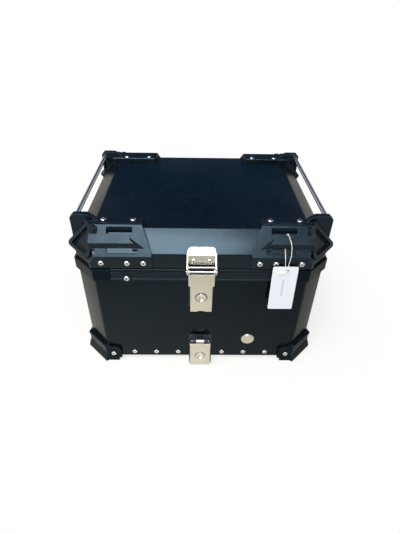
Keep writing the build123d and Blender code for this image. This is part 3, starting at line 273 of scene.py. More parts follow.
def socket(tree, name, kind, default=None, output=False):
    made = tree.interface.new_socket(name=name, in_out="OUTPUT" if output else "INPUT", socket_type=kind)
    if default is not None:
        made.default_value = default


def new_group(name, inputs, outputs):
    """A shader node group with float inputs and the given outputs."""
    tree = bpy.data.node_groups.new(name, "ShaderNodeTree")
    for label, default in inputs:
        socket(tree, label, "NodeSocketFloat", default)
    for label, kind in outputs:
        socket(tree, label, kind, output=True)
    return tree, tree.nodes.new("NodeGroupInput"), tree.nodes.new("NodeGroupOutput")


def arithmetic(tree, operation, a, b=None, clamp=False):
    made = node(tree, "ShaderNodeMath", operation=operation, use_clamp=clamp)
    for slot, value in zip(made.inputs, (a, b)):
        if value is None:
            continue
        if isinstance(value, (int, float)):
            slot.default_value = value
        else:
            tree.links.new(value, slot)
    return made.outputs[0]


def span(tree, value, low, high, to_low=0.0, to_high=1.0):
    made = node(tree, "ShaderNodeMapRange", interpolation_type="SMOOTHSTEP")
    tree.links.new(value, made.inputs["Value"])
    made.inputs["From Min"].default_value = low
    made.inputs["From Max"].default_value = high
    made.inputs["To Min"].default_value = to_low
    made.inputs["To Max"].default_value = to_high
    return made.outputs[0]


def noise(tree, vector, scale, detail=3.0, roughness=0.55):
    made = node(tree, "ShaderNodeTexNoise")
    made.inputs["Detail"].default_value = detail
    made.inputs["Roughness"].default_value = roughness
    tree.links.new(vector, made.inputs["Vector"])
    if isinstance(scale, (int, float)):
        made.inputs["Scale"].default_value = scale
    else:
        tree.links.new(scale, made.inputs["Scale"])
    return made.outputs["Fac"]


def object_coordinates(tree):
    return node(tree, "ShaderNodeTexCoord").outputs["Object"]


def coat_grain():
    """Fine orange peel and speckle of a powder coat: a height, a speckle mask and a slow mottle."""
    tree, given, out = new_group("coat_grain", [("Grain per metre", 900.0), ("Speckle", 0.5)],
                                 [("Height", "NodeSocketFloat"), ("Speckle", "NodeSocketFloat"),
                                  ("Mottle", "NodeSocketFloat")])
    place = object_coordinates(tree)
    peel = noise(tree, place, given.outputs[0], 2.0, 0.5)
    grains = node(tree, "ShaderNodeTexVoronoi", feature="F1")
    tree.links.new(place, grains.inputs["Vector"])
    tree.links.new(arithmetic(tree, "MULTIPLY", given.outputs[0], 1.4), grains.inputs["Scale"])
    dots = span(tree, grains.outputs["Distance"], 0.10, 0.42, 1.0, 0.0)
    height = arithmetic(tree, "ADD", peel, arithmetic(tree, "MULTIPLY", dots, given.outputs[1]))
    tree.links.new(height, out.inputs["Height"])
    coarse = arithmetic(tree, "MULTIPLY", given.outputs[0], 0.45)
    chance = span(tree, noise(tree, place, coarse, 1.0), 0.52, 0.66)
    tree.links.new(arithmetic(tree, "MULTIPLY", dots, chance), out.inputs["Speckle"])
    tree.links.new(span(tree, noise(tree, place, 9.0, 4.0), 0.35, 0.68), out.inputs["Mottle"])
    return tree


def mould_grain():
    """Spark-eroded texture of the moulded parts."""
    tree, given, out = new_group("mould_grain", [("Grain per metre", 1400.0)],
                                 [("Height", "NodeSocketFloat"), ("Mottle", "NodeSocketFloat")])
    place = object_coordinates(tree)
    coarse = noise(tree, place, given.outputs[0], 4.0, 0.7)
    pits = node(tree, "ShaderNodeTexVoronoi", feature="SMOOTH_F1")
    tree.links.new(place, pits.inputs["Vector"])
    tree.links.new(given.outputs[0], pits.inputs["Scale"])
    tree.links.new(arithmetic(tree, "ADD", coarse, pits.outputs["Distance"]), out.inputs["Height"])
    tree.links.new(span(tree, noise(tree, place, 22.0, 3.0), 0.35, 0.65), out.inputs["Mottle"])
    return tree


def drawn_lines():
    """Lines left by rolling, brushing or extruding, stretched by the three inputs."""
    tree, given, out = new_group("drawn_lines", [("Across X", 1.0), ("Across Y", 1.0), ("Across Z", 1.0),
                                                 ("Lines per metre", 1600.0)],
                                 [("Height", "NodeSocketFloat"), ("Mottle", "NodeSocketFloat")])
    place = object_coordinates(tree)
    stretch = node(tree, "ShaderNodeCombineXYZ")
    for k in range(3):
        tree.links.new(given.outputs[k], stretch.inputs[k])
    scaled = node(tree, "ShaderNodeVectorMath", operation="MULTIPLY")
    tree.links.new(place, scaled.inputs[0])
    tree.links.new(stretch.outputs[0], scaled.inputs[1])
    fine = noise(tree, scaled.outputs[0], given.outputs[3], 3.0, 0.65)
    broad = noise(tree, scaled.outputs[0], arithmetic(tree, "MULTIPLY", given.outputs[3], 0.12), 2.0)
    height = arithmetic(tree, "ADD", fine, arithmetic(tree, "MULTIPLY", broad, 0.6))
    tree.links.new(height, out.inputs["Height"])
    tree.links.new(span(tree, noise(tree, place, 35.0, 4.0), 0.35, 0.7), out.inputs["Mottle"])
    return tree


def edge_softening():
    """Rounded normal along hard edges, and a mask where they are lighter: rubbed wear and a painted
    highlight.
    """
    tree, given, out = new_group("edge_softening", [("Radius", 0.0006), ("Rub", 0.5)],
                                 [("Normal", "NodeSocketVector"), ("Rubbed", "NodeSocketFloat")])
    rounded = node(tree, "ShaderNodeBevel", samples=4)
    tree.links.new(given.outputs[0], rounded.inputs["Radius"])
    flat = node(tree, "ShaderNodeNewGeometry")
    dot = node(tree, "ShaderNodeVectorMath", operation="DOT_PRODUCT")
    tree.links.new(rounded.outputs[0], dot.inputs[0])
    tree.links.new(flat.outputs["Normal"], dot.inputs[1])
    turned = span(tree, dot.outputs["Value"], 0.90, 0.999, 1.0, 0.0)
    patchy = span(tree, noise(tree, object_coordinates(tree), 160.0, 5.0, 0.7), 0.30, 0.62)
    # Lighter edges: partly rubbed wear, partly a painted highlight in place of light caught on the edge.
    worn_and_lit = arithmetic(tree, "MULTIPLY", turned, patchy)
    worn_and_lit_amount = arithmetic(tree, "MULTIPLY", worn_and_lit, given.outputs[1], True)
    tree.links.new(rounded.outputs[0], out.inputs["Normal"])
    tree.links.new(worn_and_lit_amount, out.inputs["Rubbed"])
    return tree


def settled_dust():
    """A little dust on faces that look up, thicker in patches."""
    tree, given, out = new_group("settled_dust", [("Amount", 0.1)], [("Dust", "NodeSocketFloat")])
    facing = node(tree, "ShaderNodeNewGeometry")
    parts = node(tree, "ShaderNodeSeparateXYZ")
    tree.links.new(facing.outputs["Normal"], parts.inputs[0])
    up = span(tree, parts.outputs["Z"], 0.35, 1.0)
    place = object_coordinates(tree)
    patches = span(tree, noise(tree, place, 60.0, 6.0, 0.75), 0.45, 0.75)
    specks = span(tree, noise(tree, place, 1500.0, 1.0), 0.58, 0.70)
    amount = arithmetic(tree, "MULTIPLY", arithmetic(tree, "ADD", patches, specks), given.outputs[0])
    tree.links.new(arithmetic(tree, "MULTIPLY", up, amount, True), out.inputs["Dust"])
    return tree


EFFECTS = {}


def effect(tree, name, **values):
    """Place a shared effect in a material with its own values."""
    makers = {"coat_grain": coat_grain, "mould_grain": mould_grain, "drawn_lines": drawn_lines,
              "edge_softening": edge_softening, "settled_dust": settled_dust}
    if name not in EFFECTS:
        EFFECTS[name] = makers[name]()
    made = node(tree, "ShaderNodeGroup", node_tree=EFFECTS[name])
    for key, value in values.items():
        made.inputs[key.replace("_", " ")].default_value = value
    return made


def mixed(tree, mask, base, other):
    """Colour that goes from base to other with the mask; each is a colour or a socket."""
    made = node(tree, "ShaderNodeMix", data_type="RGBA")
    tree.links.new(mask, made.inputs["Factor"])
    for slot, value in ((made.inputs[6], base), (made.inputs[7], other)):
        if hasattr(value, "is_output"):
            tree.links.new(value, slot)
        else:
            slot.default_value = (*value, 1.0)
    return made.outputs[2]


def bumped(tree, height, distance, strength, normal=None):
    made = node(tree, "ShaderNodeBump")
    made.inputs["Distance"].default_value = distance
    made.inputs["Strength"].default_value = strength
    tree.links.new(height, made.inputs["Height"])
    if normal is not None:
        tree.links.new(normal, made.inputs["Normal"])
    return made.outputs[0]


def blank(name):
    material = bpy.data.materials.new(name)
    material.use_nodes = True
    return material, material.node_tree, material.node_tree.nodes["Principled BSDF"]


def dusty(tree, colour, amount):
    dust = effect(tree, "settled_dust", Amount=amount)
    return mixed(tree, dust.outputs["Dust"], colour, (0.30, 0.30, 0.29))


def powder_coat(name, colour, gloss, depth, level=0.46):
    """Black powder coat with a fine sparkle; gloss is its roughness."""
    material, tree, shader = blank(name)
    grain = effect(tree, "coat_grain")
    edges = effect(tree, "edge_softening", Radius=0.9 * MM, Rub=0.35)
    base = mixed(tree, grain.outputs["Mottle"], colour, [c * 1.35 for c in colour])
    speckle = arithmetic(tree, "MULTIPLY", grain.outputs["Speckle"], 0.16)
    base = mixed(tree, speckle, base, (0.055, 0.065, 0.080))
    # Edges tinted lighter blue-grey: rubbed wear, and a painted highlight along the folds.
    base = mixed(tree, edges.outputs["Rubbed"], base, (0.020, 0.028, 0.036))
    tree.links.new(dusty(tree, base, 0.008), shader.inputs["Base Color"])
    rough = arithmetic(tree, "ADD", arithmetic(tree, "MULTIPLY", grain.outputs["Mottle"], 0.07), gloss)
    rough = arithmetic(tree, "ADD", rough, arithmetic(tree, "MULTIPLY", grain.outputs["Speckle"], 0.10))
    tree.links.new(rough, shader.inputs["Roughness"])
    normal = bumped(tree, grain.outputs["Height"], depth, 0.55, edges.outputs["Normal"])
    tree.links.new(normal, shader.inputs["Normal"])
    shader.inputs["Specular IOR Level"].default_value = level
    shader.inputs["Specular Tint"].default_value = (*BLUED, 1.0)
    return material


def moulded_plastic(name, colour, rough, radius, level):
    material, tree, shader = blank(name)
    grain = effect(tree, "mould_grain")
    edges = effect(tree, "edge_softening", Radius=radius, Rub=1.0)
    base = mixed(tree, grain.outputs["Mottle"], colour, [c * 1.5 for c in colour])
    # Edges painted light slate: a painted highlight for light caught on the moulded edges, with some rubbed
    # wear.
    base = mixed(tree, edges.outputs["Rubbed"], base, (0.075, 0.105, 0.145))
    tree.links.new(dusty(tree, base, 0.015), shader.inputs["Base Color"])
    value = arithmetic(tree, "ADD", arithmetic(tree, "MULTIPLY", grain.outputs["Mottle"], 0.10), rough)
    tree.links.new(value, shader.inputs["Roughness"])
    normal = bumped(tree, grain.outputs["Height"], 0.05 * MM, 0.5, edges.outputs["Normal"])
    tree.links.new(normal, shader.inputs["Normal"])
    shader.inputs["Specular IOR Level"].default_value = level
    shader.inputs["Specular Tint"].default_value = (*BLUED, 1.0)
    return material


def worked_metal(name, colour, rough, across, lines=1600.0, depth=0.012 * MM, metallic=1.0,
                 worn_and_lit_colour=(0.9, 0.9, 0.88), radius=0.35 * MM, level=0.5):
    """Metal with drawn or brushed lines; across is how fast they change along X, Y and Z."""
    material, tree, shader = blank(name)
    grain = effect(tree, "drawn_lines", Across_X=across[0], Across_Y=across[1], Across_Z=across[2],
                   Lines_per_metre=lines)
    edges = effect(tree, "edge_softening", Radius=radius, Rub=0.5)
    base = mixed(tree, grain.outputs["Mottle"], colour, [c * 0.95 for c in colour])
    # Edges lightened towards the edge colour: rubbed wear, and a painted edge highlight.
    base = mixed(tree, edges.outputs["Rubbed"], base, worn_and_lit_colour)
    tree.links.new(dusty(tree, base, 0.006), shader.inputs["Base Color"])
    value = arithmetic(tree, "MULTIPLY", grain.outputs["Height"], rough * 0.35)
    tree.links.new(arithmetic(tree, "ADD", value, rough * 0.7), shader.inputs["Roughness"])
    normal = bumped(tree, grain.outputs["Height"], depth, 0.25, edges.outputs["Normal"])
    tree.links.new(normal, shader.inputs["Normal"])
    shader.inputs["Metallic"].default_value = metallic
    shader.inputs["Specular IOR Level"].default_value = level
    if metallic == 0:
        shader.inputs["Specular Tint"].default_value = (*BLUED, 1.0)
    return material


def soft_rubber(name, colour, rough, scale, depth):
    material, tree, shader = blank(name)
    place = object_coordinates(tree)
    cells = noise(tree, place, scale, 5.0, 0.6)
    patch = span(tree, noise(tree, place, 40.0, 3.0), 0.35, 0.65)
    base = mixed(tree, patch, colour, [c * 1.6 for c in colour])
    tree.links.new(dusty(tree, base, 0.12), shader.inputs["Base Color"])
    tree.links.new(span(tree, cells, 0.2, 0.8, rough - 0.08, rough + 0.08), shader.inputs["Roughness"])
    tree.links.new(bumped(tree, cells, depth, 0.6), shader.inputs["Normal"])
    shader.inputs["Specular IOR Level"].default_value = 0.3
    return material


def printed_card():
    """Coated card with a strip of grey bars in place of print."""
    material, tree, shader = blank("printed_card")
    paper = tuple(colours().card)
    place = node(tree, "ShaderNodeMapping")
    tree.links.new(object_coordinates(tree), place.inputs["Vector"])
    place.inputs["Location"].default_value = (-TAG_PLACE[0] * MM, 0, -(TAG_PLACE[2] - TAG_SIZE[1] / 2) * MM)
    parts = node(tree, "ShaderNodeSeparateXYZ")
    tree.links.new(place.outputs[0], parts.inputs[0])
    across, along = parts.outputs["X"], parts.outputs["Z"]

    def band(value, low, high):
        above = arithmetic(tree, "GREATER_THAN", value, low * MM)
        return arithmetic(tree, "MULTIPLY", above, arithmetic(tree, "LESS_THAN", value, high * MM))

    line = arithmetic(tree, "MULTIPLY", band(across, -2.6, 0.6), band(along, -17.0, 19.0))
    strokes = node(tree, "ShaderNodeTexWave", wave_type="BANDS", bands_direction="Z", wave_profile="SIN")
    strokes.inputs["Scale"].default_value = 95.0
    tree.links.new(place.outputs[0], strokes.inputs["Vector"])
    broken = span(tree, strokes.outputs["Fac"], 0.42, 0.58)
    ink = arithmetic(tree, "MULTIPLY", arithmetic(tree, "MULTIPLY", line, broken), 0.85)
    fibre = noise(tree, place.outputs[0], 2200.0, 4.0)
    stock = mixed(tree, span(tree, fibre, 0.3, 0.7), paper, [c * 0.93 for c in paper])
    tree.links.new(mixed(tree, ink, stock, (0.22, 0.24, 0.27)), shader.inputs["Base Color"])
    tree.links.new(span(tree, fibre, 0.2, 0.8, 0.42, 0.54), shader.inputs["Roughness"])
    tree.links.new(bumped(tree, fibre, 0.02 * MM, 0.4), shader.inputs["Normal"])
    return material


def twisted_string():
    material, tree, shader = blank("twisted_string")
    place = object_coordinates(tree)
    ply = node(tree, "ShaderNodeTexWave", wave_type="BANDS", bands_direction="DIAGONAL")
    ply.inputs["Scale"].default_value = 260.0
    ply.inputs["Distortion"].default_value = 2.0
    tree.links.new(place, ply.inputs["Vector"])
    fuzz = noise(tree, place, 4000.0, 3.0)
    base = mixed(tree, ply.outputs["Fac"], (0.50, 0.47, 0.42), (0.74, 0.72, 0.67))
    tree.links.new(base, shader.inputs["Base Color"])
    tree.links.new(span(tree, fuzz, 0.2, 0.8, 0.7, 0.9), shader.inputs["Roughness"])
    tree.links.new(bumped(tree, ply.outputs["Fac"], 0.15 * MM, 0.8), shader.inputs["Normal"])
    shader.inputs["Sheen Weight"].default_value = 0.2
    return material


def clear_plastic():
    material, tree, shader = blank("clear_plastic")
    place = object_coordinates(tree)
    flow = noise(tree, place, 420.0, 3.0)
    base = mixed(tree, span(tree, flow, 0.3, 0.7), (0.78, 0.80, 0.80), (0.88, 0.89, 0.88))
    tree.links.new(base, shader.inputs["Base Color"])
    tree.links.new(span(tree, flow, 0.2, 0.8, 0.18, 0.34), shader.inputs["Roughness"])
    tree.links.new(bumped(tree, flow, 0.03 * MM, 0.4), shader.inputs["Normal"])
    shader.inputs["Subsurface Weight"].default_value = 0.25
    shader.inputs["Subsurface Scale"].default_value = 0.002
    return material


FINISHES = {}


def material(name):
    """The named finish, made once."""
    if name not in FINISHES:
        colour = colours()
        paint, plastic = tuple(colour.paint), tuple(colour.plastic)
        stainless, rail = tuple(colour.stainless), tuple(colour.rail)
        makers = {
            "lid_paint": lambda: powder_coat(name, paint, 0.25, 0.030 * MM),
            "body_paint": lambda: powder_coat(name, paint, 0.20, 0.020 * MM, 0.20),
            "bracket_plastic": lambda: moulded_plastic(name, plastic, 0.27, 0.6 * MM, 0.44),
            "rim_plastic": lambda: moulded_plastic(name, plastic, 0.28, 0.8 * MM, 0.11),
            "extrusion_along_x": lambda: black_extrusion(name, (0.02, 1.0, 1.0)),
            "extrusion_along_y": lambda: black_extrusion(name, (1.0, 0.02, 1.0)),
            "stainless_plate": lambda: worked_metal(name, stainless, 0.30, (1, 1, 0.03), 1600.0,
                                                    0.006 * MM),
            "polished_rail": lambda: worked_metal(name, rail, 0.24, (1, 0.02, 1), 2400.0, 0.004 * MM),
            "rivet_alloy": lambda: worked_metal(name, (0.86, 0.86, 0.87), 0.24, (1, 1, 1), 3000.0,
                                                0.008 * MM, radius=0.25 * MM),
            "pin_steel": lambda: worked_metal(name, (0.36, 0.36, 0.37), 0.30, (0.05, 1, 1), 2000.0,
                                              0.004 * MM),
            # Near-black: painted shade in the rivet's hole, over the mandrel's end.
            "mandrel_hole_shade": lambda: worked_metal(name, (0.045, 0.045, 0.05), 0.4, (1, 1, 1), 900.0),
            "lock_nickel": lambda: worked_metal(name, (0.74, 0.72, 0.68), 0.16, (1, 1, 1), 1800.0,
                                                0.004 * MM, radius=0.2 * MM),
            # Near-black: the keyway shutter is painted dark as the keyway's shade.
            "keyway_shutter_shade": lambda: worked_metal(name, (0.10, 0.095, 0.09), 0.35, (1, 1, 0.05)),
            "hinge_steel": lambda: worked_metal(name, (0.020, 0.024, 0.028), 0.42, (0.1, 1, 1), 1200.0,
                                                0.02 * MM, 0.0, (0.08, 0.085, 0.09), 0.4 * MM, 0.45),
            "seal_rubber": lambda: soft_rubber(name, (0.010, 0.010, 0.011), 0.62, 900.0, 0.05 * MM),
            "mat_foam": lambda: soft_rubber(name, (0.020, 0.021, 0.023), 0.85, 700.0, 0.30 * MM),
            "stud_nylon": lambda: soft_rubber(name, (0.62, 0.58, 0.50), 0.48, 600.0, 0.03 * MM),
            "printed_card": printed_card,
            "twisted_string": twisted_string,
            "clear_plastic": clear_plastic,
        }
        FINISHES[name] = makers[name]()
    return FINISHES[name]


def black_extrusion(name, across):
    return worked_metal(name, (0.006, 0.009, 0.012), 0.36, across, 1500.0, 0.02 * MM, 0.0,
                        (0.03, 0.04, 0.05), 0.35 * MM, 0.22)


# ---- one operator for each piece or group of pieces ----
class TOPCASE_OT_tag_string(bpy.types.Operator):
    """String of the hang tag, looped through the right front bracket"""

    bl_idname = "topcase.tag_string"
    bl_label = "Tag string"

    def execute(self, context):
        curve = bpy.data.curves.new("tag_string_loop", "CURVE")
        curve.dimensions = "3D"
        line = curve.splines.new("NURBS")
        line.points.add(len(STRING_ROUTE) - 1)
        for point, place in zip(line.points, STRING_ROUTE):
            point.co = (*(Vector(place) * MM), 1)
        line.order_u = 3
        line.use_endpoint_u = True
        line.resolution_u = 8
        curve.bevel_depth = STRING_THICK / 2
        curve.bevel_resolution = 3
        curve.use_fill_caps = True
        piece = bpy.data.objects.new("tag_string_loop", curve)
        context.scene.collection.objects.link(piece)
        finish_piece(piece, "lid", "string", material("twisted_string"), "tag_string")
        return {"FINISHED"}


class TOPCASE_OT_tag_clip(bpy.types.Operator):
    """Plastic bullet that closes the tag's string"""

    bl_idname = "topcase.tag_clip"
    bl_label = "Tag clip"

    def execute(self, context):
        start, end = CLIP_ENDS
        piece = round_bar("tag_clip_bullet", start, end, 1.9, 32)
        axis = (Vector(end) - Vector(start)).normalized()
        pick_faces(piece, lambda c, n: n.dot(axis) < -0.9)
        bpy.ops.mesh.bevel(offset=1.3 * MM, segments=4)
        leave()
        pick_faces(piece, lambda c, n: n.dot(axis) > 0.9)
        bpy.ops.mesh.bevel(offset=0.4 * MM, segments=2)
        leave()
        pick_faces(piece, lambda c, n: n.dot(axis) > 0.99)
        bpy.ops.mesh.inset(thickness=0.5 * MM)
        bpy.ops.mesh.extrude_region_move(TRANSFORM_OT_translate={"value": -axis * 0.8 * MM})
        leave()
        smooth(piece, 40)
        finish_piece(piece, "lid", "clear_clip", material("clear_plastic"), "tag_clip")
        return {"FINISHED"}


class TOPCASE_OT_hang_tag(bpy.types.Operator):
    """Printed card on its string, kept as the frame has it"""

    bl_idname = "topcase.hang_tag"
    bl_label = "Hang tag"

    def execute(self, context):
        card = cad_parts["tag"]
        card.data.materials.clear()
        card.data.materials.append(material("printed_card"))
        return {"FINISHED"}


def cut_corners(piece, tilted):
    """Cut the four upright corner facets, and the four slanted ones where tilted is true."""
    edge = HALF_W + HALF_D - CORNER_CUT
    for sx in (1, -1):
        for sy in (1, -1):
            slice_off(piece, (sx * edge / 2, sy * edge / 2, 0), (sx, sy, 0))
            if tilted:
                k = CORNER_SUM / (2 + TILT ** 2)
                slice_off(piece, (sx * k, sy * k, k * TILT), (sx, sy, TILT))


class TOPCASE_OT_lid_skin(bpy.types.Operator):
    """Folded lid with rounded folds and an open underside"""

    bl_idname = "topcase.lid_skin"
    bl_label = "Lid skin"

    def execute(self, context):
        low, top = LID_LOW.z, LID_HIGH.z
        piece = box("lid_skin", (-HALF_W, -HALF_D, low), (HALF_W, HALF_D, top))
        rise = top - KNEE
        for s in (1, -1):
            slice_off(piece, (s * HALF_W, 0, KNEE), (s * rise, 0, SLOPE_X))
            slice_off(piece, (0, s * HALF_D, KNEE), (0, s * rise, SLOPE_Y))
        cut_corners(piece, True)
        edge_z = (low + 0.1) * MM
        pick_edges(piece, lambda a, b: a.z > edge_z or b.z > edge_z)
        bpy.ops.mesh.bevel(offset=sizes().fold_radius, segments=4)
        leave()
        pick_faces(piece, lambda c, n: n.z < -0.9)
        bpy.ops.mesh.delete(type="FACE")
        leave()
        modify(piece, "SOLIDIFY", thickness=SHEET * MM, offset=-1, use_even_offset=True)
        smooth(piece, 30)
        finish_piece(piece, "lid", "painted_sheet", material("lid_paint"), "lid_shell")
        return {"FINISHED"}


class TOPCASE_OT_body_skin(bpy.types.Operator):
    """Folded wall of the body with rounded upright folds"""

    bl_idname = "topcase.body_skin"
    bl_label = "Body skin"

    def execute(self, context):
        piece = box("body_skin", BODY_LOW, BODY_HIGH)
        cut_corners(piece, False)
        pick_edges(piece, lambda a, b: abs((a - b).normalized().z) > 0.9)
        bpy.ops.mesh.bevel(offset=sizes().wall_fold_radius, segments=5)
        leave()
        pick_faces(piece, lambda c, n: abs(n.z) > 0.9)
        bpy.ops.mesh.delete(type="FACE")
        leave()
        modify(piece, "SOLIDIFY", thickness=SHEET * MM, offset=-1, use_even_offset=True)
        smooth(piece, 30)
        finish_piece(piece, "root", "painted_sheet", material("body_paint"), "body_wall")
        return {"FINISHED"}


CORNERS = ("front_left", "front_right", "back_left", "back_right")


class TOPCASE_OT_moulded_corners(bpy.types.Operator):
    """Lid brackets, frame corners and feet with softened edges"""

    bl_idname = "topcase.moulded_corners"
    bl_label = "Moulded corners"

    def execute(self, context):
        width = sizes().mould_edge
        for corner in CORNERS:
            for node_name, body, finish in (("bracket", "lid", "bracket_plastic"),
                                            ("rim_corner", "root", "rim_plastic"),
                                            ("foot", "root", "rim_plastic")):
                source = f"{node_name}_{corner}"
                piece = softened(source, f"moulded_{source}", width)
                finish_piece(piece, body, "black_plastic", material(finish), source)
        return {"FINISHED"}


class TOPCASE_OT_latch_plates(bpy.types.Operator):
    """Folded stainless plates of both latches with broken edges"""

    bl_idname = "topcase.latch_plates"
    bl_label = "Latch plates"

    def execute(self, context):
        width = sizes().plate_edge
        for source, body in (("strike_bracket", "lid"), ("latch_lever", "latch_lever"),
                             ("mount_lever", "mount_lever")):
            piece = softened(source, f"plate_{source}", width, 35)
            finish_piece(piece, body, "stainless", material("stainless_plate"), source)
        for source in ("latch_base", "mount_base"):
            piece = softened(source, f"plate_{source}", width, 35)
            finish_piece(piece, "root", "hinge_steel", material("hinge_steel"), source)
        return {"FINISHED"}


class TOPCASE_OT_locks(bpy.types.Operator):
    """Lock barrels with a dished face, and plugs with a shuttered keyway"""

    bl_idname = "topcase.locks"
    bl_label = "Key locks"

    def execute(self, context):
        for latch in ("latch", "mount"):
            low, high = (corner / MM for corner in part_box(f"{latch}_lock_barrel"))
            z = (low.z + high.z) / 2
            radius = (high.z - low.z) / 2
            barrel = round_bar(f"{latch}_barrel", (0, high.y, z), (0, low.y, z), radius, 64)
            self.dish(barrel)
            bore = round_bar("barrel_bore", (0, high.y + 2, z), (0, low.y - 2, z), 6.55, 64)
            cut_with(barrel, bore)
            smooth(barrel, 35)
            finish_piece(barrel, f"{latch}_lever", "stainless", material("lock_nickel"),
                         f"{latch}_lock_barrel")
            self.plug(latch, z)
        return {"FINISHED"}

    def dish(self, barrel):
        front = min(v.co.y for v in barrel.data.vertices)
        pick_faces(barrel, lambda c, n: n.y < -0.9)
        bpy.ops.mesh.inset(thickness=1.1 * MM)
        bpy.ops.mesh.inset(thickness=0.5 * MM)
        bpy.ops.mesh.extrude_region_move(TRANSFORM_OT_translate={"value": (0, 0.9 * MM, 0)})
        bpy.ops.mesh.inset(thickness=0.4 * MM)
        leave()
        pick_edges(barrel, lambda a, b: max(abs(a.y - front), abs(b.y - front)) < 0.01 * MM)
        bpy.ops.mesh.bevel(offset=0.22 * MM, segments=3)
        leave()

    def plug(self, latch, z):
        low, high = (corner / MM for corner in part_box(f"{latch}_lock_plug"))
        face = low.y + 0.5
        plug = round_bar(f"{latch}_plug", (0, high.y, z), (0, face, z), 6.5, 64)
        pick_faces(plug, lambda c, n: n.y < -0.9)
        bpy.ops.mesh.inset(thickness=0.5 * MM)
        bpy.ops.mesh.inset(thickness=0.7 * MM)
        bpy.ops.mesh.extrude_region_move(TRANSFORM_OT_translate={"value": (0, 0.35 * MM, 0)})
        leave()
        keyway = box("keyway_tool", (-3.4, face - 2, z - 1.9), (3.4, face + 5, z - 0.3))
        cut_with(plug, keyway)
        modify(plug, "BEVEL", width=0.12 * MM, segments=2, limit_method="ANGLE",
               angle_limit=math.radians(40))
        smooth(plug, 35)
        finish_piece(plug, f"{latch}_lock", "stainless", material("lock_nickel"), f"{latch}_lock_plug")
        # A shutter just inside the keyway, painted near-black as painted shade in the keyway.
        shutter = box(f"{latch}_shutter", (-3.3, face + 1.2, z - 1.8), (3.3, face + 2.0, z - 0.4))
        pick_edges(shutter, lambda a, b: abs((a - b).normalized().x) > 0.9)
        bpy.ops.mesh.bevel(offset=0.3 * MM, segments=3)
        leave()
        finish_piece(shutter, f"{latch}_lock", "stainless", material("keyway_shutter_shade"))


RIVETED = {"rivets_floor": "root", "rivets_feet": "root", "rivets_rim": "root",
           "rivets_body_fittings": "root", "rivets_bracket_tops": "lid",
           "rivets_bracket_skirts": "lid", "rivets_lid_fittings": "lid"}


def islands(mesh):
    """The separate closed surfaces of a mesh, each as an array of its points."""
    points = numpy.empty(len(mesh.vertices) * 3)
    mesh.vertices.foreach_get("co", points)
    points = points.reshape(-1, 3)
    places, which = numpy.unique(numpy.round(points, 7), axis=0, return_inverse=True)
    which = which.ravel()
    parent = list(range(len(places)))

    def top(k):
        while parent[k] != k:
            parent[k] = parent[parent[k]]
            k = parent[k]
        return k

    for face in mesh.polygons:
        corners = [which[k] for k in face.vertices]
        for other in corners[1:]:
            parent[top(corners[0])] = top(other)
    groups = {}
    for k in range(len(places)):
        groups.setdefault(top(k), []).append(k)
    return [places[group] for group in groups.values()]


def rivet_seat(points):
    """Where a rivet sits: centre under its head, outward axis, head radius, head height and shank length."""
    centre = points.mean(axis=0)
    values, vectors = numpy.linalg.eigh(numpy.cov((points - centre).T))
    odd = 0 if abs(values[0] - values[1]) > abs(values[1] - values[2]) else 2
    axis = vectors[:, odd]
    along = (points - centre) @ axis
    out = numpy.linalg.norm(points - centre - numpy.outer(along, axis), axis=1)
    rim = out > 0.9 * out.max()
    if along[rim].mean() < 0:
        axis, along = -axis, -along
    base = along[rim].min()
    return Vector(centre + axis * base), Vector(axis), out.max(), along.max() - base, base - along.min()


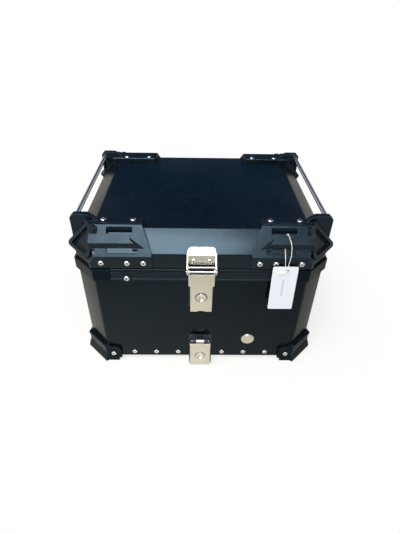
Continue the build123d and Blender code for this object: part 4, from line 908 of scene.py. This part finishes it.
class TOPCASE_OT_rivets(bpy.types.Operator):
    """Blind rivets with a domed flange; the hole in the head and the mandrel's end in it are painted
    near-black as shade
    """

    bl_idname = "topcase.rivets"
    bl_label = "Rivets"

    def execute(self, context):
        pattern = self.pattern()
        for source, body in RIVETED.items():
            seats = map(rivet_seat, islands(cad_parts[source].data))
            copies = [self.placed(pattern, seat) for seat in seats]
            bpy.ops.object.select_all(action="DESELECT")
            for copy in copies:
                copy.select_set(True)
            bpy.context.view_layer.objects.active = copies[0]
            bpy.ops.object.join()
            piece = copies[0]
            piece.name = f"domed_{source}"
            smooth(piece, 40)
            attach(piece, body)
            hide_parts(source)
        bpy.data.objects.remove(pattern)
        return {"FINISHED"}

    def pattern(self):
        """One rivet, its head 1 high and 1 in radius above the origin and its shank 1 long below it."""
        bpy.ops.object.select_all(action="DESELECT")
        bpy.ops.mesh.primitive_cylinder_add(vertices=28, radius=1, depth=1, location=(0, 0, 0.5))
        head = bpy.context.active_object
        bpy.ops.object.transform_apply(location=True, rotation=True, scale=True)
        pick_faces(head, lambda c, n: n.z > 0.9)
        bpy.ops.mesh.inset(thickness=0.20)
        leave()
        pick_edges(head, lambda a, b: min(a.z, b.z) > 0.9
                   and max(abs(a.xy.length - 1), abs(b.xy.length - 1)) < 0.01)
        bpy.ops.transform.translate(value=(0, 0, -0.55))
        leave()
        pick_faces(head, lambda c, n: n.z > 0.99 and c.xy.length < 0.01)
        bpy.ops.mesh.inset(thickness=0.42)
        bpy.ops.mesh.extrude_region_move(TRANSFORM_OT_translate={"value": (0, 0, -0.45)})
        leave()
        bpy.ops.object.select_all(action="DESELECT")
        bpy.ops.mesh.primitive_cylinder_add(vertices=16, radius=0.5, depth=1, location=(0, 0, -0.5))
        bpy.ops.object.transform_apply(location=True, rotation=True, scale=True)
        head.select_set(True)
        bpy.context.view_layer.objects.active = head
        bpy.ops.object.join()
        head.data.materials.append(material("rivet_alloy"))
        head.data.materials.append(material("mandrel_hole_shade"))
        # The hole's walls and floor take the near-black finish: painted shade in the hole.
        for face in head.data.polygons:
            within = max(head.data.vertices[k].co.xy.length for k in face.vertices) < 0.40
            face.material_index = int(within and face.center.z > 0.1)
        return head

    def placed(self, pattern, seat):
        centre, axis, radius, high, deep = seat
        copy = bpy.data.objects.new("rivet", pattern.data.copy())
        bpy.context.scene.collection.objects.link(copy)
        turn = axis.to_track_quat("Z", "Y").to_matrix()
        for vertex in copy.data.vertices:
            x, y, z = vertex.co
            vertex.co = centre + turn @ Vector((x * radius, y * radius, z * (high if z > 0 else deep)))
        return copy


NODE_FINISHES = {
    "lid_paint": ("floor_pan",),
    "extrusion_along_x": ("rim_front", "rim_back"),
    "extrusion_along_y": ("rim_left", "rim_right"),
    "stainless_plate": ("latch_backing", "port_cover", "port_nut"),
    "pin_steel": ("latch_pin", "latch_cross_bar", "mount_pin"),
    "lock_nickel": ("latch_lock_carrier", "mount_lock_carrier", "latch_lock_cam", "mount_lock_cam"),
    "polished_rail": ("side_rail_right", "side_rail_left"),
    "hinge_steel": ("hinge_body_leaf_right", "hinge_body_leaf_left", "hinge_lid_leaf_right",
                    "hinge_lid_leaf_left", "hinge_pin_right", "hinge_pin_left"),
    "seal_rubber": ("lid_seal",),
    "mat_foam": ("floor_mat",),
    "stud_nylon": ("glide_studs",),
}


class TOPCASE_OT_other_finishes(bpy.types.Operator):
    """Finishes of the pieces whose shape is kept from the frame"""

    bl_idname = "topcase.other_finishes"
    bl_label = "Other finishes"

    def execute(self, context):
        for finish, names in NODE_FINISHES.items():
            for name in names:
                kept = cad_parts[name]
                kept.data.materials.clear()
                kept.data.materials.append(material(finish))
        return {"FINISHED"}


def lamp(name, place, target, size, power, colour):
    data = bpy.data.lights.new(name, "AREA")
    data.shape = "RECTANGLE"
    data.size, data.size_y = size
    data.energy = power
    data.color = colour
    lamp_object = bpy.data.objects.new(name, data)
    lamp_object.location = place
    lamp_object.rotation_euler = (Vector(target) - Vector(place)).to_track_quat("-Z", "Y").to_euler()
    bpy.context.scene.collection.objects.link(lamp_object)
    return lamp_object


class TOPCASE_OT_camera(bpy.types.Operator):
    """Camera above and in front of the case"""

    bl_idname = "topcase.camera"
    bl_label = "Camera"

    def execute(self, context):
        yaw, pitch, roll = (math.radians(a) for a in (1.09, 37.13, 1.06))
        forward = Vector((math.sin(yaw) * math.cos(pitch), math.cos(yaw) * math.cos(pitch),
                          -math.sin(pitch)))
        level = Vector((math.cos(yaw), -math.sin(yaw), 0))
        upright = level.cross(forward)
        right = level * math.cos(roll) + upright * math.sin(roll)
        up = right.cross(forward)
        data = bpy.data.cameras.new("camera")
        data.sensor_fit = "HORIZONTAL"
        data.sensor_width = 36.0
        data.lens = 36.0 * 386.8 / 400
        data.clip_start = 0.01
        data.clip_end = 200
        camera = bpy.data.objects.new("camera", data)
        turn = Matrix((right, up, -forward)).transposed()
        camera.matrix_world = Matrix.Translation(Vector((-13.0, -721.2, 633.2)) * MM) @ turn.to_4x4()
        context.scene.collection.objects.link(camera)
        context.scene.camera = camera
        return {"FINISHED"}


class TOPCASE_OT_stage(bpy.types.Operator):
    """Pale floor, soft lamps and surroundings"""

    bl_idname = "topcase.stage"
    bl_label = "Studio"

    def execute(self, context):
        studio = context.scene.top_case_studio
        self.floor(tuple(studio.floor_colour))
        self.surroundings()
        aim = (0, 0, 0.15)
        lamp("key_softbox", (-0.50, -1.90, 2.15), aim, (2.0, 1.15), studio.key_power, (1.0, 1.0, 1.0))
        lamp("side_panel", (-2.3, -0.5, 1.5), aim, (1.6, 1.4), studio.side_power, (1.0, 0.97, 0.92))
        lamp("overhead_panel", (-0.25, -0.65, 2.45), aim, (1.3, 1.0), studio.overhead_power, (1.0, 1.0, 1.0))
        back = lamp("back_panel", (0.5, 1.6, 2.6), aim, (1.8, 0.8), studio.back_power, (0.94, 0.97, 1.0))
        back.visible_glossy = False
        context.scene.view_settings.view_transform = "Standard"
        return {"FINISHED"}

    def floor(self, colour):
        bpy.ops.object.select_all(action="DESELECT")
        bpy.ops.mesh.primitive_circle_add(vertices=96, radius=60, fill_type="NGON",
                                          location=(0, 0, CAD_BOX[0][2]))
        floor = bpy.context.active_object
        floor.name = "studio_floor"
        made, tree, shader = blank("pale_floor")
        place = object_coordinates(tree)
        tree.links.new(mixed(tree, noise(tree, place, 3.0), colour, [c * 0.99 for c in colour]),
                       shader.inputs["Base Color"])
        shader.inputs["Roughness"].default_value = 0.9
        shader.inputs["Specular IOR Level"].default_value = 0.1
        away = node(tree, "ShaderNodeVectorMath", operation="LENGTH")
        tree.links.new(place, away.inputs[0])
        path = node(tree, "ShaderNodeLightPath")
        shown = arithmetic(tree, "MULTIPLY", path.outputs["Is Camera Ray"],
                           span(tree, away.outputs["Value"], 0.26, 0.50, 0.70, 1.0))
        mirrored = arithmetic(tree, "MAXIMUM", path.outputs["Is Glossy Ray"],
                              path.outputs["Is Transmission Ray"])
        mirrored = arithmetic(tree, "MULTIPLY", mirrored, 0.75)
        # Painted light and shadow in what the case mirrors: the floor glows warm and bright near the case,
        # dimmer further off, and darker to the right as a painted shadow.
        mirrored_floor_light = mixed(tree, span(tree, away.outputs["Value"], 0.32, 0.62),
                     (1.0, 0.95, 0.82), (0.46, 0.42, 0.34))
        parts = node(tree, "ShaderNodeSeparateXYZ")
        tree.links.new(place, parts.inputs[0])
        mirrored_floor_light = mixed(tree, span(tree, parts.outputs["X"], -0.10, 0.32), mirrored_floor_light, (0.42, 0.39, 0.33))
        white = node(tree, "ShaderNodeEmission")
        seen = mixed(tree, path.outputs["Is Camera Ray"], mirrored_floor_light, (1.0, 1.0, 1.0))
        tree.links.new(seen, white.inputs["Color"])
        mix = node(tree, "ShaderNodeMixShader")
        tree.links.new(arithmetic(tree, "MAXIMUM", shown, mirrored), mix.inputs[0])
        tree.links.new(shader.outputs[0], mix.inputs[1])
        tree.links.new(white.outputs[0], mix.inputs[2])
        tree.links.new(mix.outputs[0], tree.nodes["Material Output"].inputs["Surface"])
        floor.data.materials.append(made)

    def surroundings(self):
        world = bpy.data.worlds.new("studio")
        world.use_nodes = True
        tree = world.node_tree
        background = tree.nodes["Background"]
        direction = node(tree, "ShaderNodeSeparateXYZ")
        tree.links.new(node(tree, "ShaderNodeTexCoord").outputs["Generated"], direction.inputs[0])
        height = direction.outputs["Z"]
        side = arithmetic(tree, "ABSOLUTE", direction.outputs["X"])
        low = mixed(tree, span(tree, side, 0.26, 0.48), (0.010, 0.055, 0.14), (0.40, 0.39, 0.42))
        room = mixed(tree, span(tree, height, 0.55, 0.98), low, (0.24, 0.27, 0.32))
        path = node(tree, "ShaderNodeLightPath")
        mirrored = arithmetic(tree, "MAXIMUM", path.outputs["Is Glossy Ray"],
                              path.outputs["Is Transmission Ray"])
        horizon = span(tree, height, 0.02, 0.13, 1.0, 0.0)
        room = mixed(tree, arithmetic(tree, "MULTIPLY", mirrored, horizon), room, (0.95, 0.87, 0.74))
        seen = mixed(tree, path.outputs["Is Camera Ray"], room, (1.0, 1.0, 1.0))
        tree.links.new(seen, background.inputs["Color"])
        bpy.context.scene.world = world


# ---- panel, registration and run ----
STEPS = (TOPCASE_OT_camera, TOPCASE_OT_tag_string, TOPCASE_OT_tag_clip, TOPCASE_OT_hang_tag,
         TOPCASE_OT_lid_skin, TOPCASE_OT_body_skin, TOPCASE_OT_moulded_corners, TOPCASE_OT_latch_plates,
         TOPCASE_OT_locks, TOPCASE_OT_rivets, TOPCASE_OT_other_finishes, TOPCASE_OT_stage)
SETTINGS = {"top_case_sizes": TopCaseSizes, "top_case_colours": TopCaseColours,
            "top_case_studio": StudioSettings}


class TOPCASE_PT_panel(bpy.types.Panel):
    """Lists the case's settings and its build steps"""

    bl_idname = "TOPCASE_PT_panel"
    bl_label = "Top case"
    bl_space_type = "VIEW_3D"
    bl_region_type = "UI"
    bl_category = "Top case"

    def draw(self, context):
        for name in SETTINGS:
            group = getattr(context.scene, name)
            for setting in group.bl_rna.properties.keys():
                if setting not in ("rna_type", "name"):
                    self.layout.prop(group, setting)
        for step in STEPS:
            self.layout.operator(step.bl_idname)


CLASSES = (*SETTINGS.values(), *STEPS, TOPCASE_PT_panel)


def register():
    for cls in CLASSES:
        bpy.utils.register_class(cls)
    for name, group in SETTINGS.items():
        setattr(bpy.types.Scene, name, PointerProperty(type=group))


def unregister():
    for name in SETTINGS:
        delattr(bpy.types.Scene, name)
    for cls in reversed(CLASSES):
        bpy.utils.unregister_class(cls)


def main():
    register()
    for step in STEPS:
        family, name = step.bl_idname.split(".")
        getattr(getattr(bpy.ops, family), name)()


if __name__ == "__main__":
    main()
